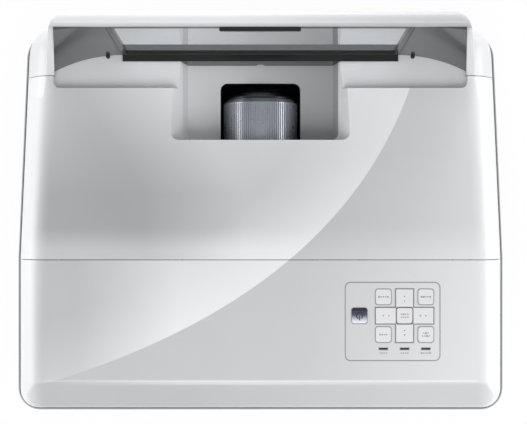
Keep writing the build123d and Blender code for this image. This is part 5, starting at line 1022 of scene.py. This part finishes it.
@dataclass
class Keypad:
    """Painted shade lines round the keypad's openings, printed pictograms of the keypad, and the sign of the
    power key.
    """

    bench: Workbench
    bezel_top: float = 122 * MM
    key_top: float = 122.6 * MM
    outline_width: float = 0.50 * MM
    ink_height: float = 0.04 * MM
    middle: tuple[float, float] = (108.7 * MM, -71.0 * MM)
    pitch: tuple[float, float] = (16.0 * MM, 14.2 * MM)
    mark: float = 1.25 * MM
    bar: tuple[float, float] = (1.125 * MM, 0.5625 * MM)
    bar_corner: float = 0.125 * MM
    box_corner: float = 0.1875 * MM
    line: float = 0.35 * MM
    ring_radius: float = 0.6875 * MM
    dot_radius: float = 0.4375 * MM
    arrow_radius: float = 0.775 * MM
    step: float = 1.62 * MM
    row_step: float = 2.2 * MM
    label_y: float = -99.2 * MM
    arm_arrow: float = 14.484 * MM
    arm_sign: float = 11.076 * MM
    side_sign: float = 11.84 * MM
    power: tuple[float, float] = (74.7 * MM, -71.0 * MM)
    power_radius: float = 2.7 * MM
    power_line: float = 0.8 * MM
    power_bar: float = 3.1 * MM
    power_drop: float = 1.9 * MM
    key_rows: tuple[tuple[str, int, int, tuple[str, ...]], ...] = (
        ("key_top_left", -1, 1, ("x->-x",)),
        ("key_top_right", 1, 1, ("xx--o",)),
        ("key_bottom_left", -1, -1, ("o<.>",)),
        ("key_bottom_right", 1, -1, ("-x-", "--x-")),
        ("key_centre", 0, 0, ("-o--", "----")),
    )
    slit_rows: tuple[str, ...] = (".--.", "--.-", "o---o")

    def build(self) -> None:
        """Paint lines of shade on the bezel, and print the bezel, the keys and the arrow pad."""
        self.outline_openings()
        self.print_keys()
        self.print_pad()
        self.print_labels()
        self.print_power_sign()

    def outline_openings(self) -> None:
        """Paint a line of shade round the bezel and round each of its openings, where the gaps between the
        parts fall.
        """
        piece = self.bench.copy_node("keypad_bezel")
        top = self.bezel_top - 0.05 * MM
        self.bench.choose(piece, lambda face: face.normal.z <= 0.9 or face.calc_center_median().z <= top)
        bpy.ops.mesh.delete(type="FACE")
        bpy.ops.mesh.select_all(action="SELECT")
        self.bench.raise_faces(self.ink_height, self.outline_width)
        self.bench.settle()
        self.bench.finish(piece, "keypad_gap_shade", "gap_shade_lines", "case")

    def stamp(self, mark: Mark, x: float, y: float, z: float) -> bpy.types.Object:
        """Print one shape of a pictogram.

        Args:
            mark: Which shape it is.
            x: Its middle.
            y: Its middle.
            z: The surface that it is printed on.

        Returns:
            The printed shape.
        """
        bench, place, height = self.bench, (x, y, z), self.ink_height
        if mark is Mark.BAR:
            return bench.plate(place, self.bar, height, self.bar_corner)
        if mark is Mark.BOX:
            return bench.plate(place, (self.mark, self.mark), height, self.box_corner, self.line)
        if mark is Mark.RING:
            return bench.disc(place, self.ring_radius, height, self.line, 16)
        if mark is Mark.DOT:
            return bench.disc(place, self.dot_radius, height, 0.0, 12)
        turns = {Mark.UP: 0.0, Mark.LEFT: 0.5, Mark.DOWN: 1.0, Mark.RIGHT: 1.5}
        return bench.disc(place, self.arrow_radius, height, 0.0, 3, turns[mark] * math.pi)

    def stamp_row(self, signs: str, x: float, y: float, z: float) -> list[bpy.types.Object]:
        """Print a row of shapes about its middle, from their signs."""
        start = x - (len(signs) - 1) * self.step / 2
        return [self.stamp(Mark(sign), start + i * self.step, y, z) for i, sign in enumerate(signs)]

    def print_keys(self) -> None:
        """Print a row or two of shapes on each square key."""
        for key, column, line, rows in self.key_rows:
            x = self.middle[0] + column * self.pitch[0]
            top_y = self.middle[1] + line * self.pitch[1] + (len(rows) - 1) * self.row_step / 2
            shapes = [shape for i, signs in enumerate(rows)
                      for shape in self.stamp_row(signs, x, top_y - i * self.row_step, self.key_top)]
            self.bench.finish(self.bench.join(*shapes), key + "_print", "ink", key)

    def print_pad(self) -> None:
        """Print the arrow and the small sign of each arm of the pad."""
        arms = [
            (Mark.UP, Mark.BAR, (0, 1), self.arm_arrow, self.arm_sign),
            (Mark.DOWN, Mark.BAR, (0, -1), self.arm_arrow, self.arm_sign),
            (Mark.LEFT, Mark.DOT, (-1, 0), self.pitch[0], self.side_sign),
            (Mark.RIGHT, Mark.RING, (1, 0), self.pitch[0], self.side_sign),
        ]
        shapes = []
        for arrow, sign, (across, along), arrow_reach, sign_reach in arms:
            for mark, reach in ((arrow, arrow_reach), (sign, sign_reach)):
                place = (self.middle[0] + across * reach, self.middle[1] + along * reach)
                shapes.append(self.stamp(mark, *place, self.key_top))
        self.bench.finish(self.bench.join(*shapes), "nav_pad_print", "ink", "nav_pad")

    def print_labels(self) -> None:
        """Print a row of shapes below each lamp slit."""
        shapes = []
        for column, signs in zip((-1, 0, 1), self.slit_rows):
            x = self.middle[0] + column * self.pitch[0]
            shapes += self.stamp_row(signs, x, self.label_y, self.bezel_top)
        self.bench.finish(self.bench.join(*shapes), "slit_labels", "ink", "case")

    def print_power_sign(self) -> None:
        """Print the open ring and the bar of a power sign."""
        x, y = self.power
        ring = self.bench.disc((x, y, self.key_top), self.power_radius, self.ink_height, self.power_line, 32)
        self.bench.open()
        self.bench.choose(ring, lambda face: abs(face.calc_center_median().x - x) < self.power_line
                          and face.calc_center_median().y < y)
        bpy.ops.mesh.delete(type="FACE")
        self.bench.settle()
        bar = self.bench.plate((x, y - self.power_drop, self.key_top), (self.power_line, self.power_bar),
                               self.ink_height, 0.15 * MM)
        self.bench.finish(self.bench.join(ring, bar), "power_sign", "black_satin", "key_power")


@dataclass
class HoodDetails:
    """Ribbed strip under the lip of the hood, and the clips at the feet of its wings."""

    bench: Workbench
    strip_half: float = 29 * MM
    strip_depth: float = 2.2 * MM
    strip_back_y: float = 138 * MM
    strip_z: float = 176.9 * MM
    strip_height: float = 3.4 * MM
    strip_corner: float = 0.4 * MM
    ribs: int = 29
    rib_depth: float = 0.7 * MM
    rib_proud: float = 0.1 * MM
    rib_rise: float = 0.68 * MM
    rib_height: float = 2.92 * MM
    clip_place: Point = (117.3 * MM, 126.6 * MM, 98.3 * MM)
    clip_radius: float = 1.5 * MM
    clip_height: float = 3.2 * MM
    clip_round: float = 0.4 * MM

    def build(self) -> None:
        """Build the strip and both clips."""
        self.build_strip()
        self.build_clips()

    def build_strip(self) -> None:
        """Build the strip as a bar whose front carries ribs."""
        centre = (0, self.strip_back_y - self.strip_depth / 2, self.strip_z)
        bar = self.bench.plate(centre, (2 * self.strip_half, self.strip_depth), self.strip_height,
                               self.strip_corner)
        pitch = 2 * self.strip_half / self.ribs
        place = (pitch - self.strip_half, self.strip_back_y - self.strip_depth - self.rib_proud,
                 self.strip_z + self.rib_rise)
        rib = self.bench.plate(place, (pitch / 2, self.rib_depth), self.rib_height, self.rib_proud)
        ribs = self.bench.row(rib, self.ribs - 1, (pitch, 0, 0))
        self.bench.finish(self.bench.join(bar, ribs), "lip_strip", "black_satin", "case")

    def build_clips(self) -> None:
        """Build a round clip at the foot of each wing."""
        x, y, z = self.clip_place
        clip = self.bench.disc((-x, y, z), self.clip_radius, self.clip_height, 0.0, 20)
        self.bench.open()
        self.bench.choose(clip, lambda face: face.normal.z > 0.9)
        bpy.ops.mesh.bevel(offset=self.clip_round, segments=3, affect="EDGES")
        self.bench.settle()
        other = self.bench.twin(clip, (2 * x, 0, 0))
        self.bench.finish(clip, "wing_clip_left", "black_satin", "case", True)
        self.bench.finish(other, "wing_clip_right", "black_satin", "case", True)


@dataclass
class Underside:
    """Grip ridges of the lamp door and a bare rating plate."""

    bench: Workbench
    case_bottom: float = 10 * MM
    ridge_count: int = 6
    ridge_size: tuple[float, float] = (26 * MM, 1.2 * MM)
    ridge_height: float = 0.5 * MM
    ridge_step: float = 2.4 * MM
    ridge_margin: float = 8 * MM
    plate_size: tuple[float, float] = (74 * MM, 34 * MM)
    plate_place: tuple[float, float] = (0.0, 20 * MM)
    plate_height: float = 0.12 * MM
    plate_corner: float = 2 * MM
    plate_margin: float = 1.5 * MM
    line_height: float = 0.04 * MM
    line_width: float = 0.5 * MM

    def build(self) -> None:
        """Build the pieces of the underside."""
        self.build_door_ridges()
        self.build_rating_plate()

    def build_door_ridges(self) -> None:
        """Build the grip ridges on the lamp door."""
        low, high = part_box("lamp_door")
        place = ((low[0] + high[0]) / 2, high[1] - self.ridge_margin, low[2])
        ridge = self.bench.plate(place, self.ridge_size, -self.ridge_height, self.ridge_height)
        ridges = self.bench.row(ridge, self.ridge_count, (0, -self.ridge_step, 0))
        self.bench.finish(ridges, "door_ridges", "white_plastic", "case")

    def build_rating_plate(self) -> None:
        """Build a plate with nothing printed on it but a frame line."""
        x, y = self.plate_place
        plate = self.bench.plate((x, y, self.case_bottom), self.plate_size, -self.plate_height,
                                 self.plate_corner)
        self.bench.finish(plate, "rating_plate", "grey_trim", "case")
        inner = tuple(side - 2 * self.plate_margin for side in self.plate_size)
        line = self.bench.plate((x, y, self.case_bottom - self.plate_height), inner, -self.line_height,
                                self.plate_corner / 2, self.line_width)
        self.bench.finish(line, "rating_plate_line", "ink", "case")


@dataclass
class RearPanel:
    """Details of the sockets at the back: rings of the jacks, contacts, and black discs of painted shade for
    the pin holes.
    """

    bench: Workbench
    face_y: float = 143 * MM
    jack_z: float = 28.3 * MM
    jack_radius: float = 4.1 * MM
    jack_ring: tuple[float, float] = (0.5 * MM, 1.5 * MM)
    jacks: tuple[tuple[float, str], ...] = (
        (82.0 * MM, "jack_yellow"), (92.5 * MM, "jack_white"), (103.0 * MM, "jack_red"),
    )
    contact_place: Point = (4 * MM, -6 * MM, 2 * MM)
    contact_size: tuple[float, float] = (0.5 * MM, 8 * MM)
    contact_height: float = 0.5 * MM
    contact_pitch: float = 1.1 * MM
    contact_count: int = 8
    screen_x: tuple[float, ...] = (25 * MM, 61 * MM)
    pin_radius: float = 0.45 * MM
    pin_height: float = 0.08 * MM
    pin_grid: tuple[int, int] = (5, 3)
    pin_pitch: tuple[float, float] = (2.3 * MM, 2.0 * MM)
    pin_shift: float = 0.5 * MM

    def build(self) -> None:
        """Build the rings, the contacts and the pins."""
        self.build_jack_rings()
        self.build_contacts()
        self.build_pins()

    def stand(self, radius: float, height: float, rim: float, sides: int, place: Point) -> bpy.types.Object:
        """Make a disc or a ring that faces the back.

        Args:
            radius: Its radius.
            height: How far it stands out to the back.
            rim: Width of the ring, or 0 for a disc.
            sides: How many sides it has.
            place: Middle of its front.

        Returns:
            The disc or ring.
        """
        piece = self.bench.disc((0, 0, 0), radius, height, rim, sides)
        piece.data.transform(Matrix.Translation(place) @ Matrix.Rotation(-math.pi / 2, 4, "X"))
        return piece

    def build_jack_rings(self) -> None:
        """Build the coloured ring of each jack."""
        for i, (x, finish) in enumerate(self.jacks):
            ring = self.stand(self.jack_radius, *self.jack_ring, 32, (x, self.face_y, self.jack_z))
            self.bench.finish(ring, f"jack_ring_{i}", finish, "case")

    def build_contacts(self) -> None:
        """Build the contacts of the network socket."""
        low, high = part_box("lan_socket")
        place = (low[0] + self.contact_place[0], high[1] + self.contact_place[1],
                 low[2] + self.contact_place[2])
        first = self.bench.plate(place, self.contact_size, self.contact_height, 0.1 * MM)
        contacts = self.bench.row(first, self.contact_count, (self.contact_pitch, 0, 0))
        self.bench.finish(contacts, "lan_contacts", "brass", "case")

    def build_pins(self) -> None:
        """Build black discs of painted shade for the pin holes of each screen socket, its rows shifted by
        half a step each.
        """
        low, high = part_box("dsub_sockets")
        columns, lines = self.pin_grid
        for number, centre_x in enumerate(self.screen_x):
            holes = []
            for line in range(lines):
                up = line - (lines - 1) / 2
                z = (low[2] + high[2]) / 2 + up * self.pin_pitch[1]
                for column in range(columns):
                    x = centre_x + (column - (columns - 1) / 2) * self.pin_pitch[0] + up * self.pin_shift
                    # a black disc of painted shade for each pin hole
                    holes.append(self.stand(self.pin_radius, self.pin_height, 0.0, 10, (x, high[1], z)))
            self.bench.finish(self.bench.join(*holes), f"screen_socket_hole_shade_{number}", "black_satin", "case")


@dataclass
class Studio:
    """Pale floor, soft lamps and the camera that looks straight down as in the photograph."""

    camera_place: Point = (2.4 * MM, 7.1 * MM, 1125 * MM)
    image_width: int = 527
    focal_pixels: float = 1331.0
    sensor: float = 36.0
    floor_size: float = 8.0
    floor_level: float = 244.0
    floor_glow: float = 0.93
    sky: float = 0.42
    target: Point = (0.0, 0.0, 0.08)
    lamps: tuple[tuple[str, Point, float, float], ...] = (
        ("lamp_left", (-1.6, 0.0, 0.30), 1.2, 12.0),
        ("lamp_right", (1.6, 0.0, 0.30), 1.2, 14.0),
        ("lamp_back", (0.0, 1.7, 0.7), 1.4, 18.0),
        ("lamp_high", (0.0, -1.0, 1.5), 1.2, 16.0),
    )

    def aim(self) -> None:
        """Make the camera."""
        data = bpy.data.cameras.new("camera")
        data.sensor_width = self.sensor
        data.lens = self.focal_pixels / self.image_width * self.sensor
        camera = bpy.data.objects.new("camera", data)
        camera.location = self.camera_place
        bpy.context.scene.collection.objects.link(camera)
        bpy.context.scene.camera = camera

    def light(self) -> None:
        """Make the world and the lamps, which all look at the object."""
        bpy.context.scene.view_settings.view_transform = "Standard"
        self.light_world()
        for name, place, size, power in self.lamps:
            data = bpy.data.lights.new(name, "AREA")
            data.shape = "SQUARE"
            data.size = size
            data.energy = power
            lamp = bpy.data.objects.new(name, data)
            lamp.location = place
            lamp.rotation_euler = (Vector(self.target) - Vector(place)).to_track_quat("-Z", "Y").to_euler()
            bpy.context.scene.collection.objects.link(lamp)

    def light_world(self) -> None:
        """Make the sky, which the camera sees as white."""
        world = bpy.data.worlds.new("studio")
        world.use_nodes = True
        bpy.context.scene.world = world
        tree = world.node_tree
        background = tree.nodes["Background"]
        path = tree.nodes.new("ShaderNodeLightPath")
        seen = tree.nodes.new("ShaderNodeMath")
        seen.operation = "MAXIMUM"
        tree.links.new(path.outputs["Is Camera Ray"], seen.inputs[0])
        tree.links.new(path.outputs["Is Transmission Ray"], seen.inputs[1])
        strength = tree.nodes.new("ShaderNodeMapRange")
        strength.inputs["To Min"].default_value = self.sky
        strength.inputs["To Max"].default_value = 1.0
        tree.links.new(seen.outputs[0], strength.inputs["Value"])
        tree.links.new(strength.outputs[0], background.inputs["Strength"])
        background.inputs["Color"].default_value = (1, 1, 1, 1)

    def lay_floor(self) -> None:
        """Make the floor, which shows white and keeps a soft shadow."""
        Workbench.take()
        bpy.ops.mesh.primitive_plane_add(size=self.floor_size)
        floor = bpy.context.active_object
        floor.name = "floor"
        plan = NodePlan("floor_paper")
        plan.set(Base_Color=linear(grey(self.floor_level)), Roughness=0.9)
        path = plan.node("LightPath")
        seen = plan.math("MAXIMUM", path.outputs["Is Camera Ray"], path.outputs["Is Glossy Ray"])
        seen = plan.math("MAXIMUM", seen, path.outputs["Is Transmission Ray"])
        mix = plan.node("MixShader")
        plan.feed(mix.inputs[0], plan.math("MULTIPLY", seen, self.floor_glow))
        plan.feed(mix.inputs[1], plan.surface.outputs[0])
        plan.feed(mix.inputs[2], plan.node("Emission").outputs[0])
        plan.feed(plan.output.inputs["Surface"], mix.outputs[0])
        floor.data.materials.append(plan.material)


def main() -> None:
    """Build the scene around the frame."""
    logging.basicConfig(level=logging.INFO, format="%(message)s")
    finishes = ProjectorFinishes()
    finishes.dress()
    bench = Workbench(finishes)
    for assembly in (CoverShells, CaseTrim, Keypad, HoodDetails, Underside, RearPanel):
        assembly(bench).build()
    studio = Studio()
    studio.aim()
    studio.light()
    studio.lay_floor()


if __name__ == "__main__":
    main()
